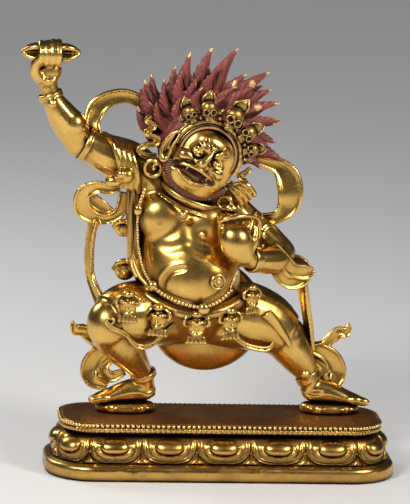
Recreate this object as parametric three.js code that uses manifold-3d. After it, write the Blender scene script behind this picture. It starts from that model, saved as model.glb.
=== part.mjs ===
import * as THREE from 'three';
import Module from 'manifold-3d';
import { mergeVertices } from 'three/addons/utils/BufferGeometryUtils.js';

const wasm = await Module();
wasm.setup();

// Driving sizes in millimetres. +X is the viewer's right, the figure faces -Y and +Z is up.
const base = { halfWide: 67.8, halfDeep: 24, corner: 18.5, tall: 6.6 };
const plate = { inset: 5.4, under: 17.6, top: 21.5 };
const petal = { count: 16, inset: 4.6, halfWide: 9.2, low: 6.2, high: 17, bulge: 2.4, boss: 3.6 };
const seatGap = 0.3;
const slack = 0.2;
const sole = 24.9;
const head = { at: [-11.4, -1, 122], wide: 13, deep: 12.5, tall: 14.5, tilt: 30, turn: 5 };
const scarf = { half: 2.9, thick: 1.1 };
const vajra = { at: [-69.6, -2, 161.9], half: 11.2, fat: 3.5, rod: 1.3 };

const degrees = Math.PI / 180;
const up = new THREE.Vector3(0, 0, 1);
const vector = (p) => new THREE.Vector3(...p);

// Solids
function solid(points, faces) {
  const mesh = new wasm.Mesh({
    numProp: 3,
    vertProperties: Float32Array.from(points.flatMap((p) => [p.x, p.y, p.z])),
    triVerts: Uint32Array.from(faces),
  });
  return new wasm.Manifold(mesh);
}

function fromGeometry(geometry) {
  geometry.deleteAttribute('normal');
  geometry.deleteAttribute('uv');
  const merged = mergeVertices(geometry, 1e-4);
  const mesh = new wasm.Mesh({
    numProp: 3,
    vertProperties: Float32Array.from(merged.attributes.position.array),
    triVerts: Uint32Array.from(merged.index.array),
  });
  return new wasm.Manifold(mesh);
}

function join(parts) {
  return parts.flat().reduce((whole, part) => whole.add(part));
}

// Closes rings of points, listed round the path's direction, into a body with a point at each end.
function skin(rings, first, last) {
  const sides = rings[0].length;
  const points = [first, ...rings.flat(), last];
  const end = points.length - 1;
  const id = (ring, side) => 1 + ring * sides + (side % sides);
  const faces = [];
  for (let side = 0; side < sides; side++) {
    faces.push(0, id(0, side + 1), id(0, side));
    faces.push(end, id(rings.length - 1, side), id(rings.length - 1, side + 1));
    for (let ring = 0; ring < rings.length - 1; ring++) {
      faces.push(id(ring, side), id(ring, side + 1), id(ring + 1, side + 1));
      faces.push(id(ring, side), id(ring + 1, side + 1), id(ring + 1, side));
    }
  }
  return solid(points, faces);
}

// One section across a path: a superellipse, turned about the path.
function section(centre, along, facing, [halfWide, halfDeep, turn], sides, square) {
  const across = new THREE.Vector3().crossVectors(along, facing).normalize();
  across.applyAxisAngle(along, turn * degrees);
  const deep = new THREE.Vector3().crossVectors(along, across);
  return Array.from({ length: sides }, (_, side) => {
    const angle = ((side + 0.5) / sides) * 2 * Math.PI;
    const soft = (value) => Math.sign(value) * Math.abs(value) ** (2 / square);
    return centre.clone()
      .addScaledVector(across, halfWide * soft(Math.cos(angle)))
      .addScaledVector(deep, halfDeep * soft(Math.sin(angle)));
  });
}

// A body swept through stations [x, y, z, half width, half depth, turn]. The width lies across the
// path and square to `facing`.
function sweep(stations, { sides = 6, steps = 1, facing = [0, 1, 0], square = 2 } = {}) {
  const path = new THREE.CatmullRomCurve3(stations.map((s) => new THREE.Vector3(s[0], s[1], s[2])));
  const size = (u) => {
    const f = u * (stations.length - 1);
    const i = Math.min(Math.floor(f), stations.length - 2);
    const value = (s, k) => s[k] ?? (k === 4 ? s[3] : 0);
    const between = (k) => THREE.MathUtils.lerp(value(stations[i], k), value(stations[i + 1], k), f - i);
    return [3, 4, 5].map(between);
  };
  const count = (stations.length - 1) * steps;
  const rings = Array.from({ length: count + 1 }, (_, i) => {
    const u = i / count;
    return section(path.getPoint(u), path.getTangent(u), vector(facing), size(u), sides, square);
  });
  return skin(rings, path.getPoint(0), path.getPoint(1));
}

function ball(at, radii, around = 7, rows = 4) {
  return fromGeometry(new THREE.SphereGeometry(1, around, rows).scale(...radii).translate(...at));
}

function bead(at, radii) {
  const [rx, ry, rz] = [radii].flat().length === 3 ? radii : [radii, radii, radii];
  return fromGeometry(new THREE.OctahedronGeometry(1).scale(rx, ry, rz).translate(...at));
}

function hoop(at, direction, radius, thick) {
  const turn = new THREE.Quaternion().setFromUnitVectors(up, vector(direction).normalize());
  return fromGeometry(new THREE.TorusGeometry(radius, thick, 3, 9).applyQuaternion(turn).translate(...at));
}

function toGeometry(body) {
  const mesh = body.getMesh();
  const geometry = new THREE.BufferGeometry();
  geometry.setAttribute('position', new THREE.BufferAttribute(new Float32Array(mesh.vertProperties), 3));
  geometry.setIndex(new THREE.BufferAttribute(new Uint32Array(mesh.triVerts), 1));
  return geometry;
}

// Turns a body about its origin, first about Z and then about Y, and moves it to its place.
function placed(body, at, aboutY = 0, aboutZ = 0) {
  const geometry = toGeometry(body).rotateZ(aboutZ * degrees).rotateY(aboutY * degrees);
  return fromGeometry(geometry.translate(...at));
}

// Leaves out points that the joins made where the surface moves by less than `slack` without them.
function plainer(body) {
  const mesh = body.getMesh();
  const points = Array.from({ length: mesh.vertProperties.length / 3 }, (_, i) =>
    new THREE.Vector3().fromArray(mesh.vertProperties, 3 * i));
  const faces = Array.from({ length: mesh.triVerts.length / 3 }, (_, i) =>
    Array.from(mesh.triVerts.slice(3 * i, 3 * i + 3)));
  const touching = points.map(() => new Set());
  faces.forEach((face, id) => face.forEach((corner) => touching[corner].add(id)));
  const neighbours = (corner) => new Set([...touching[corner]].flatMap((id) => faces[id]));
  const facing = (face, from, to) => {
    const [a, b, c] = face.map((corner) => points[corner === from ? to : corner]);
    return b.clone().sub(a).cross(c.clone().sub(a)).normalize();
  };
  const change = (from, to) => {
    const move = points[to].clone().sub(points[from]);
    let worst = 0;
    for (const id of touching[from]) {
      if (faces[id].includes(to)) continue;
      const before = facing(faces[id]);
      if (before.dot(facing(faces[id], from, to)) < 0.6) return Infinity;
      worst = Math.max(worst, Math.abs(before.dot(move)));
    }
    return worst;
  };
  const shared = (from, to) => [...neighbours(from)].filter((corner) => neighbours(to).has(corner));
  const merge = (from, to) => {
    for (const id of touching[from]) {
      const gone = faces[id].includes(to);
      faces[id].forEach((corner) => gone && touching[corner].delete(id));
      faces[id] = gone ? null : faces[id].map((corner) => (corner === from ? to : corner));
      if (!gone) touching[to].add(id);
    }
    touching[from] = new Set();
  };
  for (let pass = 0; pass < 3; pass++) {
    const cheapest = points.map((_, from) => {
      const others = [...neighbours(from)].filter((to) => to !== from);
      const options = others.map((to) => [change(from, to), from, to]);
      return options.reduce((best, option) => (option[0] < best[0] ? option : best), [Infinity]);
    });
    for (const [cost, from, to] of cheapest.sort((a, b) => a[0] - b[0])) {
      if (cost >= slack || !neighbours(from).has(to)) continue;
      if (shared(from, to).length === 4 && change(from, to) < slack) merge(from, to);
    }
  }
  return solid(points, faces.filter((face) => face).flat());
}

// A pointed tongue of hair, flame or leaf that sways to one side on its way to the tip.
function tongue(root, tip, halfWide, sway, sides = 3) {
  const line = vector(tip).sub(vector(root));
  const side = new THREE.Vector3(line.z, 0, -line.x).normalize();
  const station = (share, off, size) => {
    const p = vector(root).addScaledVector(line, share).addScaledVector(side, off * sway);
    return [p.x, p.y, p.z, halfWide * size, halfWide * size * 0.62];
  };
  return sweep([station(0, 0, 0.9), station(0.35, 1, 1), station(0.7, 0.2, 0.62), station(0.97, -0.3, 0.14)],
    { sides });
}

function onCircle(angle, radius, y) {
  return [radius * Math.sin(angle * degrees), y, radius * Math.cos(angle * degrees)];
}

// Body
function torso() {
  const trunk = sweep([
    [-10, 7, 54, 15, 10],
    [-11.5, 3.5, 64, 17.5, 13],
    [-12.5, 1, 74, 18.6, 15.5],
    [-13.5, 1.5, 84, 17.4, 14],
    [-15.5, 3.5, 94, 17.4, 11.5],
    [-15.5, 5, 103, 15.4, 9.5],
    [-13, 5, 110, 8, 7.5],
  ], { sides: 11 });
  const breasts = [[-24.6, -3.6, 97], [-9.4, -4.6, 94.4]].map((at) => ball(at, [9.6, 5.6, 8.8], 9, 6));
  const navelAt = [-4.5, -13, 77];
  const navel = [hoop(navelAt, [0.35, -1, 0], 3, 0.8), bead([-4, -13, 77], 1.8)];
  return join([trunk, breasts, navel, bead([-27, -9.6, 97], 1.3), bead([-10, -10.6, 94.5], 1.3)]);
}

function raisedArm() {
  const upper = sweep([
    [-27, 6, 109, 8, 8],
    [-38, 6, 118.5, 8.6, 8.4],
    [-47, 5, 122.3, 7.9, 7.6],
    [-57, 4, 127, 6.2, 6.2],
  ], { sides: 7 });
  const fore = sweep([
    [-57, 3.5, 127, 6.2, 6.2],
    [-61.8, 2, 133.4, 6.4, 6.2],
    [-67, 1, 141.4, 4.9, 5],
    [-70, 0, 147, 4, 4],
    [-70.6, -0.5, 152, 4.6, 4.2],
  ], { sides: 7 });
  return join([upper, fore, ball([-57, 3.8, 126.8], [6.3, 6.3, 6.3]), raisedHand()]);
}

// The fist holds the sceptre's waist, with two fingers up over it.
function raisedHand() {
  const fist = ball([-70, -1, 155], [6, 5, 6]);
  const thumb = sweep([[-72.5, -3, 150, 2], [-75, -4, 154, 2], [-73.5, -4.4, 159, 1.3]], { sides: 4 });
  const fingers = [0, 1].map((index) => {
    const x = -70.4 + index * 2.6;
    return sweep([[x, -4, 156, 1.3], [x, -5.6, 161, 1.2], [x, -2, 165, 1.2], [x, 2.4, 161, 1.3],
      [x, 2, 156, 1.3]], { sides: 4, facing: [1, 0, 0] });
  });
  return join([fist, thumb, fingers]);
}

// The sceptre lies along X, with a rod and a cage of bent prongs at each end.
function sceptre() {
  const { at, half, fat, rod } = vajra;
  const [x, y, z] = at;
  const parts = [sweep([[x - half, y, z, 0.6], [x - half * 0.8, y, z, rod], [x + half * 0.8, y, z, rod],
    [x + half, y, z, 0.6]], { sides: 5 })];
  for (const side of [-1, 1]) {
    for (let prong = 0; prong < 4; prong++) {
      const angle = (prong * 90 + 45) * degrees;
      const station = (share, radius, size) => [
        x + side * half * share,
        y + radius * Math.cos(angle),
        z + radius * Math.sin(angle),
        size,
      ];
      parts.push(sweep([station(0.14, 1, 0.9), station(0.34, fat * 0.78, 1.1), station(0.62, fat * 0.76, 1),
        station(0.9, 0.9, 0.6)], { sides: 3, facing: [0.1, Math.cos(angle), Math.sin(angle)] }));
    }
  }
  return join(parts);
}

function loweredArm() {
  const upper = sweep([
    [2, 7, 101, 6.6, 6.6],
    [8, 6, 95.6, 7, 7],
    [14.5, 4.5, 91.2, 6.6, 6.8],
    [21, 1, 85.6, 6, 6],
  ], { sides: 7 });
  const fore = sweep([
    [21.2, 0, 85.2, 5.8, 5.8],
    [17, -5.5, 84, 5.9, 5.6],
    [11.5, -11, 84.8, 5, 4.8],
    [7, -14, 86, 4, 4],
  ], { sides: 7, facing: [0, 0, 1] });
  return join([upper, fore, ball([20.8, 0.5, 85.4], [6.1, 6.1, 6.1]), loweredHand()]);
}

// The hand is bent up at the wrist before the breast, its back to the front.
function loweredHand() {
  const palm = sweep([[7, -13.6, 86, 3.9, 3.6], [3, -15.6, 88.4, 5, 4], [1.4, -17, 93.4, 5.4, 4],
    [1, -17, 97, 4.4, 3]], { sides: 7 });
  const fingers = [0, 1, 2].map((index) => {
    const x = -1.6 + index * 2.6;
    return sweep([[x, -18, 95, 1.4], [x, -19.4, 99.4, 1.4], [x + 0.2, -15.6, 101, 1.2]],
      { sides: 4, facing: [1, 0, 0] });
  });
  const held = sweep([[1.6, -15.4, 99.6, 1.4], [7.6, -9.6, 102, 1.3], [10.2, -4.6, 99.6, 1.3],
    [9.6, -1, 95, 1.3]], { sides: 4 });
  return join([palm, fingers, held]);
}

// Legs
function bentLeg() {
  const thigh = sweep([
    [-12, 7, 61, 13, 11],
    [-26, 3, 61, 13, 12.5],
    [-38, -4, 61, 12.4, 12.4],
    [-45, -8, 60, 9.4, 9.6],
  ], { sides: 9 });
  const shin = sweep([
    [-44, -6, 56, 8.8, 9],
    [-38, -2, 47.5, 7.8, 8],
    [-32, 2.5, 40, 5.2, 5.6],
    [-29.4, 4.4, 34.5, 4.2, 4.4],
    [-29, 5, 27, 4.4, 4.6],
  ], { sides: 7 });
  return join([thigh, shin, ball([-45, -8, 58], [8.4, 8.8, 9.8]), barefoot(-26, 5, -1)]);
}

function straightLeg() {
  const thigh = sweep([
    [-8, 7, 60, 12.5, 11],
    [6, 7.5, 59.4, 13.6, 12.5],
    [17, 7.5, 56.4, 12, 11.4],
    [25, 7.5, 51.6, 9.6, 9.6],
  ], { sides: 9 });
  const shin = sweep([
    [24.5, 7.5, 51, 8.8, 8.8],
    [29.4, 7.5, 44.6, 7.8, 8],
    [33.6, 7.2, 38, 5.2, 5.4],
    [36, 7, 33, 4, 4.2],
    [37, 7, 27, 4.2, 4.4],
  ], { sides: 7 });
  return join([thigh, shin, ball([25.4, 7.5, 50.6], [8.3, 8.6, 8.8]), barefoot(33.4, 7, 1)]);
}

// A bare foot with its heel at (x, y), its sole level and its toes towards `way`.
function barefoot(x, y, way) {
  const length = 23.4;
  const station = (share, halfTall, halfDeep) => [
    x + way * length * share, y - 1.2 * share, sole + halfTall, halfTall, halfDeep];
  const body = sweep([station(0.02, 2.6, 3.2), station(0.14, 4.6, 4.3), station(0.42, 4.6, 4.6),
    station(0.72, 3.1, 5), station(0.96, 1.9, 4.6)], { sides: 7 });
  const toes = [0, 1, 2, 3, 4].map((toe) => {
    const radius = 1.7 - toe * 0.12;
    const at = [x + way * (length * 0.95 - toe * 0.6), y - 5.2 + toe * 2.1, sole + radius];
    return bead(at, [2.3, radius, radius]);
  });
  return join([body, toes]);
}

// Low discs under the feet, standing just clear of the plate.
function footPads() {
  const disc = (x, y, halfWide, halfDeep) => {
    const low = plate.top + seatGap;
    const profile = [[0, low], [0.9, low], [1, low + 1.3], [0.94, sole + 0.3], [0, sole + 0.3]];
    const points = profile.map(([radius, z]) => new THREE.Vector2(radius, z));
    const lathe = new THREE.LatheGeometry(points, 12).rotateX(Math.PI / 2);
    return fromGeometry(lathe.scale(halfWide, halfDeep, 1).translate(x, y, 0));
  };
  return join([disc(-36.5, 4, 11.5, 6.6), disc(43.5, 6, 11.5, 6.6)]);
}

// Cloth
function skirt() {
  const apron = ball([-6, 9, 59], [22.5, 8.5, 22.2], 12, 7);
  const hipBand = sweep([[-31, -6, 70, 2.6, 3], [-22, -12, 66, 3, 3], [-12, -14, 64.5, 3, 3],
    [-2, -12.5, 66, 3, 3], [7, -5, 70, 2.6, 3]], { sides: 5 });
  const leftHem = sweep([[-44, -17, 58, 1], [-38, -15, 55, 1.2], [-32.5, -12, 49.6, 1.3],
    [-25, -9, 53.6, 1.3], [-16, -7, 59.5, 1]], { sides: 4 });
  const rightHem = sweep([[-1, -7, 58, 1], [7.5, -4.5, 50, 1.3], [17.6, -3, 47.6, 1.3], [20, -1, 50, 1]],
    { sides: 4 });
  const sash = [[16, -5, 63, 2.4, 1], [20.4, -2.6, 58, 2, 1], [24.6, -1.6, 52, 1.4, 1]];
  const kneeSash = sweep(sash, { sides: 4 });
  return join([apron, hipBand, leftHem, rightHem, kneeSash]);
}

// Hangings on the belt: a mask under a knot
function beltPendants() {
  const hanging = ([x, y, z, size]) => join([
    ball([x, y, z], [size, size * 0.8, size * 1.4], 6, 4),
    bead([x, y - 0.5, z + size * 1.5], size * 0.8),
  ]);
  return [[-26.4, -12.4, 60, 3.6], [-11.9, -13.5, 57.4, 3.7], [1.1, -11, 58.8, 3.7], [9.6, -6.5, 68, 3.2],
    [-38.4, -15.4, 66.6, 3.4]].map(hanging);
}

function ribbon(points, { half = scarf.half, steps = 1 } = {}) {
  const stations = points.map(([x, y, z, turn = 0, share = 1]) => [x, y, z, half * share, scarf.thick, turn]);
  return sweep(stations, { sides: 4, steps, square: 6 });
}

// Ribs of cloth bunched round an arm, each one a bent rod.
function bunched(path, count, shift) {
  return Array.from({ length: count }, (_, fold) => sweep(path.map(([x, y, z]) =>
    [x + shift[0] * fold, y + shift[1] * fold, z + shift[2] * fold, 1.4]), { sides: 3, facing: [1, 0, 0] }));
}

// The long scarf, from the hair over the raised arm and down to the knee.
function leftScarf() {
  const arch = ribbon([[-28, 9, 137.5, 0, 0.8], [-33, 10, 141.3, 0, 0.9], [-40, 10, 143.8],
    [-46.9, 9, 142.3, 0, 1.1], [-50.7, 8, 139.3, 0, 1.25], [-52.8, 6, 134, 0, 1.1],
    [-50.4, 3, 128, 0, 0.8]], { steps: 2 });
  const wrap = bunched([[-46, 12, 121], [-48, 5, 129.6], [-43.8, -3.4, 126], [-42, -4, 117],
    [-41, 4, 110]], 3, [2.1, 0, -1]);
  const loop = ribbon([[-40, -1, 114.6, 0, 0.7], [-44.3, -1, 109.8, 0, 0.7], [-50.5, -0.5, 110, 0, 0.8],
    [-55, 1, 107.6], [-55.4, 2, 101.4, 0, 1.2], [-51, 3, 98, 0, 0.9], [-44.8, 3, 97.8, 0, 0.7],
    [-40.8, 3, 100.4, 0, 0.8], [-39.4, 2, 108, 0, 0.8]]);
  const lining = ribbon([[-56, 3, 106.8], [-50, 4.4, 102.8], [-44, 3.6, 98.6, 0, 0.7]]);
  const fall = ribbon([[-50.9, 3, 97, 50, 0.8], [-52, 4, 89.4, 60, 0.8], [-52.2, 4, 80, 60, 0.8],
    [-51.2, 3, 73.2, 60, 0.8], [-48, -2, 66, 50]]);
  return join([arch, wrap, loop, lining, fall, scarfTail(-1)]);
}

function rightScarf() {
  const ring = ribbon([[10, 8, 120.4, 0, 0.7], [15, 8, 119.4, 0, 0.8], [20, 8, 118, 0, 1.2],
    [23.6, 7, 114, 0, 1.7], [24.8, 6, 108, 0, 1.75], [23.8, 6, 102.4, 0, 1.5], [20, 5.4, 98.6, 0, 0.9],
    [13.6, 5, 97.8, 0, 0.75], [8, 3, 96, 0, 0.8]], { steps: 2 });
  const wrap = bunched([[9.4, 12, 93], [11.4, 6, 100.6], [9.6, -1, 98.4], [7.4, -3, 91.6], [6, 4, 86.6]], 2,
    [-2.2, 0, -1]);
  const loop = ribbon([[15, -2, 90, 0, 0.8], [17.6, -4, 83, 0, 0.8], [20.2, -4.4, 78, 0, 0.8],
    [24.2, -3.6, 74.8, 0, 0.9], [29, -1.6, 75.2], [31, 1, 78.6], [28.6, 2, 82, 0, 0.8],
    [23, 2.4, 83, 0, 0.8]], { steps: 2 });
  const fall = ribbon([[30, 1, 74.6, 40, 0.8], [32, 3, 65, 60, 0.8], [33.8, 5, 56, 60, 0.8],
    [35, 7.4, 46, 50, 0.9]]);
  return join([ring, wrap, loop, fall, scarfTail(1)]);
}

// The scarf's free end below a knee: a hooked fold, one inside it and a twisting tip.
function scarfTail(way) {
  const root = way < 0 ? [-38.6, 6, 46.4] : [34.6, 8, 46.4];
  const place = ([x, y, z, share = 1, turn = 0]) => [
    root[0] + way * x, root[1] + y, root[2] + z, turn, share];
  const slide = way < 0 ? 3.4 : 0;
  const hook = ribbon([[-2, 0, 1, 0.8], [4.4, 0.4, -0.8], [9.6, 1, -4, 1.2], [12.2, 1, -9.4, 1.2],
    [10.6, 0, -13.6], [5, -1, -15.4, 0.8]].map(place));
  const fold = ribbon([[0, 0.6, -2.4, 0.7], [4.8, 1, -5.4, 0.8], [6.6, 0.6, -9, 0.7], [3.6, 0, -12, 0.9],
    [-1.6, -0.6, -9.6, 0.7]].map(place));
  const twist = ribbon([[2.6, 0, 0.4, 0.8, 30], [6, 0.6, 1.4, 0.8, 40], [9.4, 0.4, 4.4, 0.9, 20],
    [11.8, 0, 6.6, 0.8, -20], [14.6, 0, 6.4, 0.7], [15.8, 0, 10, 0.4, 30]]
    .map(([x, ...rest]) => place([x + slide, ...rest])));
  return join([hook, fold, twist]);
}

// A fall of cloth and two knots of it beside the ribs
function sideDrape() {
  const strip = sweep([[-36.4, 1, 116, 1.8, 3], [-36.2, 1, 104, 2, 4], [-35.6, 0, 92, 2, 4],
    [-35, 0, 82, 2, 4], [-32, -4, 75, 2, 4]]);
  const knots = [ball([-39.6, 3, 93.8], [4.2, 3.4, 4.2], 6, 4), ball([-38.4, 3, 77.6], [5, 4, 5], 6, 4)];
  return join([strip, knots]);
}

// Head, built upright about its own centre and then leaned over
function headForm() {
  const { at, wide, deep, tall, tilt, turn } = head;
  const mouth = ball([1.2, -12.6, -6.6], [6.8, 3.6, 2.1], 6, 4);
  const chin = ball([2.2, -6.5, -10.4], [6.5, 5, 4.2]);
  const skull = ball([0, 0, 0], [wide, deep, tall], 11, 8).add(chin).subtract(mouth);
  return placed(join([skull, face(), ears(), headBands(), hair(), crown()]), at, tilt, turn);
}

function face() {
  const nose = [bead([1.5, -12.4, -0.9], 2.4), sweep([[1.4, -11.4, 3.6, 0.9], [1.5, -13, 0.6, 1.3]],
    { sides: 4 })];
  const eyes = [-3.4, 6].map((x) => ball([x, -11.4 + Math.abs(x - 1.4) * 0.12, 1.8], [2.3, 1.4, 1.3], 6, 4));
  const thirdEye = bead([1.7, -11.6, 6], 1.5);
  const brows = [-1, 1].map((way) => sweep([[1.4 + way * 1.4, -12.4, 2.8, 0.9],
    [1.4 + way * 4, -11.6, 4.9, 1.1], [1.4 + way * 7.2, -10, 5.6, 0.6]], { sides: 4 }));
  const cheeks = [-5.6, 8].map((x) => ball([x, -9, -2.4], [4, 3.4, 3.2], 6, 4));
  const lip = sweep([[-5.6, -10, -5, 0.7], [-2, -12.4, -4.2, 0.9], [4, -12.4, -4.2, 0.9],
    [8.6, -9.6, -5.4, 0.7]], { sides: 4 });
  return join([nose, eyes, thirdEye, brows, cheeks, lip]);
}

function ears() {
  const lobes = [ball([-13, -3, -2.6], [2, 2.8, 7.8], 6, 4), ball([13.2, -2, -3], [2, 2.8, 6.6], 6, 4)];
  const rings = [
    hoop([-15, -4.5, -12.5], [0.1, 1, 0.1], 3.3, 1),
    hoop([14.2, -4, -10.8], [0.3, 1, 0], 2.6, 1),
  ];
  return join([lobes, rings, bead([-13.8, -4, -9.6], 2.2), bead([14.8, -4.6, -14], 2.4)]);
}

function arc(from, to, radius, y, halfWide, halfDeep, count) {
  const stations = Array.from({ length: count + 1 }, (_, i) => {
    const angle = from + ((to - from) * i) / count;
    return [...onCircle(angle, radius, y), halfWide, halfDeep];
  });
  return sweep(stations, { sides: 4 });
}

function headBands() {
  const diadem = arc(-112, 84, head.tall + 0.4, -4.2, 1.9, 2.8, 12);
  const beard = arc(118, 242, head.tall - 0.6, -4.6, 1.9, 2.6, 7);
  return join([diadem, beard]);
}

// A fan of flames in one upright sheet, from [angle, reach] of each tip. A tongue leans to one side and
// has its own ridge, front and back, and the sheet closes in a plain curve behind the neck.
function flameFan(tips, y, thick, valley) {
  const between = THREE.MathUtils.lerp;
  const edge = tips.flatMap(([angle, reach], index) => {
    const next = tips[index + 1] ?? [angle + 12];
    return [
      { angle, reach, ridge: 0.84, swell: 0.5 },
      { angle: between(angle, next[0], 0.36), reach: between(valley, reach, 0.62), ridge: 0.95, swell: 0.8 },
      { angle: between(angle, next[0], 0.62), reach: valley, ridge: 0.9, swell: 1 },
    ];
  });
  const last = edge.at(-1).angle;
  for (let step = 1; step < 6; step++) {
    edge.push({ angle: last + ((tips[0][0] + 345 - last) * step) / 5.5, reach: 14, ridge: 0.8, swell: 1 });
  }
  const ring = (way) => edge.map(({ angle, reach, ridge, swell }) =>
    vector(onCircle(angle, way ? reach * ridge : reach, y + way * swell * thick)));
  return skin([ring(-1), ring(0), ring(1)], vector([0, y - thick, 4]), vector([0, y + thick, 4]));
}

// Flaming hair: three fans about the head's centre, the middle one reaching furthest.
function hair() {
  const mass = ball([-1, 5, 3], [17, 9, 16.5], 9, 6);
  const far = [[-84, 30], [-68, 36], [-56, 33], [-47, 36], [-37, 40], [-25, 42], [-12, 44], [-1, 37],
    [9, 42.6], [17, 38.5], [26, 38], [38, 34], [49, 28], [58, 32]];
  const row = (count, from, to, reach) => Array.from({ length: count }, (_, index) =>
    [from + ((to - from) * index) / (count - 1), reach + (index % 2) * 4]);
  return join([mass, flameFan(far, 8, 2.6, 29.5), flameFan(row(9, -76, 50, 26), 2.6, 3, 20.5),
    flameFan(row(8, -66, 52, 29), 13.5, 3, 22)]);
}

// Five skulls on the diadem with a leaf of the crown above each.
function crown() {
  const places = [[-45, 19, -4], [-21, 19.2, -6], [6, 19.8, -7], [31, 19.4, -6], [52, 18.4, -4]];
  return places.map(([angle, radius, y], index) => {
    const size = index === 2 ? 4.2 : 3.3;
    const [root, tip] = [onCircle(angle, radius, y + 3), onCircle(angle + 3, radius + 10, y + 4)];
    const leaf = tongue(root, tip, size * 0.8, 0.8);
    return join([placed(bareSkull(size), onCircle(angle, radius, y), angle), leaf]);
  });
}

function bareSkull(size) {
  const outline = [[0, -0.2, -1.3, 0.5], [0, -0.2, -0.7, 0.7], [0, 0, -0.2, 1], [0, 0, 0.55, 0.85],
    [0, 0, 0.95, 0.35]];
  const bone = sweep(outline.map((station) => station.map((value) => value * size)));
  const sockets = [-1, 1].map((way) => bead([way * size * 0.44, -size * 0.95, -size * 0.1], size * 0.46));
  return bone.subtract(join(sockets));
}

// Ribbons that tie the hair, beside each ear
function hairRibbons() {
  const left = ribbon([[-28, 2, 138], [-29.5, 1.5, 133.4], [-33.6, 1, 130.6], [-29.4, 0.5, 128],
    [-34.5, 0, 125.4], [-29, 0, 121.6]], { half: 1.7 });
  const right = ribbon([[1, 1, 120], [8.4, 1, 118], [8, 0, 113.6], [1.6, -1, 112]], { half: 1.6 });
  const fan = [0, 1, 2].map((pleat) => sweep([[-1, -3.6, 112, 1],
    [3 + pleat * 1.8, -3, 108 + pleat * 1.4, 1.8],
    [3.6 + pleat * 2.2, -2, 104 + pleat * 1.6, 1.4]], { sides: 3 }));
  return join([left, right, fan]);
}

// Jewellery
function collar() {
  const rings = [[13.4, 1.4, 108.2], [15.3, 1.2, 106.4]].map(([radius, thick, z]) =>
    fromGeometry(new THREE.TorusGeometry(radius, thick, 3, 12).scale(1, 0.86, 1).rotateX(16 * degrees)
      .rotateY(20 * degrees).translate(-13.6, 3.6, z)));
  return join([rings, bead([-17.6, -7.4, 102], [2.4, 3.4, 2.4])]);
}

function garlands() {
  const cord = (points, radius) => sweep(points.map((p) => [...p, radius]), { sides: 3 });
  return [
    cord([[-36.9, -1, 112], [-36.8, -2.4, 98], [-35.8, -3.6, 85], [-33, -6.4, 77], [-28.6, -9.4, 73]], 1.2),
    cord([[-31.5, -4.4, 109], [-34.4, -3.6, 100], [-33.6, -4.6, 88], [-31.6, -7.4, 80], [-28, -10.4, 75]],
      1.3),
    cord([[2, -5, 104], [4, -8, 92], [3.4, -10, 82], [0.4, -12.6, 74]], 1.2),
    cord([[-27, -12.5, 73], [-19, -15, 69], [-10.7, -15.8, 67.4], [-4, -14.6, 70], [1, -12, 74]], 1.4),
    cord([[-28.6, -9.6, 73], [-24.6, -11.6, 79.6], [-19, -12.6, 84.2]], 1.2),
  ];
}

function bangles() {
  const raised = [-0.35, 0, 0.92];
  return [
    hoop([-69, 0.2, 144.2], raised, 4.6, 1.2),
    hoop([-53.6, 4.4, 125.4], [-0.9, 0, 0.4], 6.8, 1.1),
    hoop([9, -12.4, 85.6], [-0.8, -0.55, 0.1], 4.8, 1.1),
    hoop([13.4, 5, 92.2], [0.66, -0.25, -0.7], 6.9, 1.1),
    hoop([-29.7, 4, 36], [0.3, 0.2, -0.9], 4.7, 1.1),
    hoop([35.4, 7, 34.6], [0.5, 0, -0.85], 4.6, 1.1),
    bead([-33.8, 0, 37.5], 2.2),
    bead([33, 2.4, 37], 2.2),
  ];
}

function figure() {
  const body = [torso(), raisedArm(), loweredArm(), bentLeg(), straightLeg(), footPads(), headForm()];
  const dress = [skirt(), beltPendants(), leftScarf(), rightScarf(), sideDrape(), hairRibbons()];
  return join([body, sceptre(), dress, collar(), garlands(), bangles()].flat());
}

// Plinth
// A point on a rounded rectangle and the way it faces, by distance along its edge from the front's middle.
function edgePoint(distance, halfWide, halfDeep, corner) {
  const way = distance < 0 ? -1 : 1;
  const straight = halfWide - corner;
  const quarter = (corner * Math.PI) / 2;
  const side = 2 * (halfDeep - corner);
  const facing = (x, y, angle) => ({ at: [way * x, y], angle: way * angle });
  const onCorner = (angle, y) =>
    facing(straight + corner * Math.sin(angle), y - corner * Math.cos(angle), angle);
  const along = Math.abs(distance);
  if (along < straight) return facing(along, -halfDeep, 0);
  const round = along - straight;
  if (round < quarter) return onCorner(round / corner, corner - halfDeep);
  const onSide = round - quarter;
  if (onSide < side) return facing(halfWide, corner - halfDeep + onSide, Math.PI / 2);
  const past = onSide - side;
  if (past < quarter) return onCorner(Math.PI / 2 + past / corner, halfDeep - corner);
  return facing(straight - (past - quarter), halfDeep, Math.PI);
}

function roundedOutline(halfWide, halfDeep, corner, z) {
  const segments = 4;
  const centres = [[1, -1, -90], [1, 1, 0], [-1, 1, 90], [-1, -1, 180]];
  return centres.flatMap(([sx, sy, start]) => Array.from({ length: segments + 1 }, (_, i) => {
    const angle = (start + (90 * i) / segments) * degrees;
    return new THREE.Vector3(sx * (halfWide - corner) + corner * Math.cos(angle),
      sy * (halfDeep - corner) + corner * Math.sin(angle), z);
  }));
}

// The moulded body of the plinth, as levels [inset from the foot band, height].
function plinthCore() {
  const levels = [[0.8, 0], [0, 1], [0, 5.4], [1, base.tall], [4, 7.6], [5.4, 14], [8.4, 16.8],
    [plate.inset + 0.6, plate.under + 0.4], [plate.inset, 19.4], [plate.inset + 0.6, plate.top]];
  const rings = levels.map(([inset, z]) => roundedOutline(base.halfWide - inset, base.halfDeep - inset,
    base.corner - inset, z));
  return skin(rings, new THREE.Vector3(0, 0, 0), new THREE.Vector3(0, 0, plate.top));
}

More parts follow.
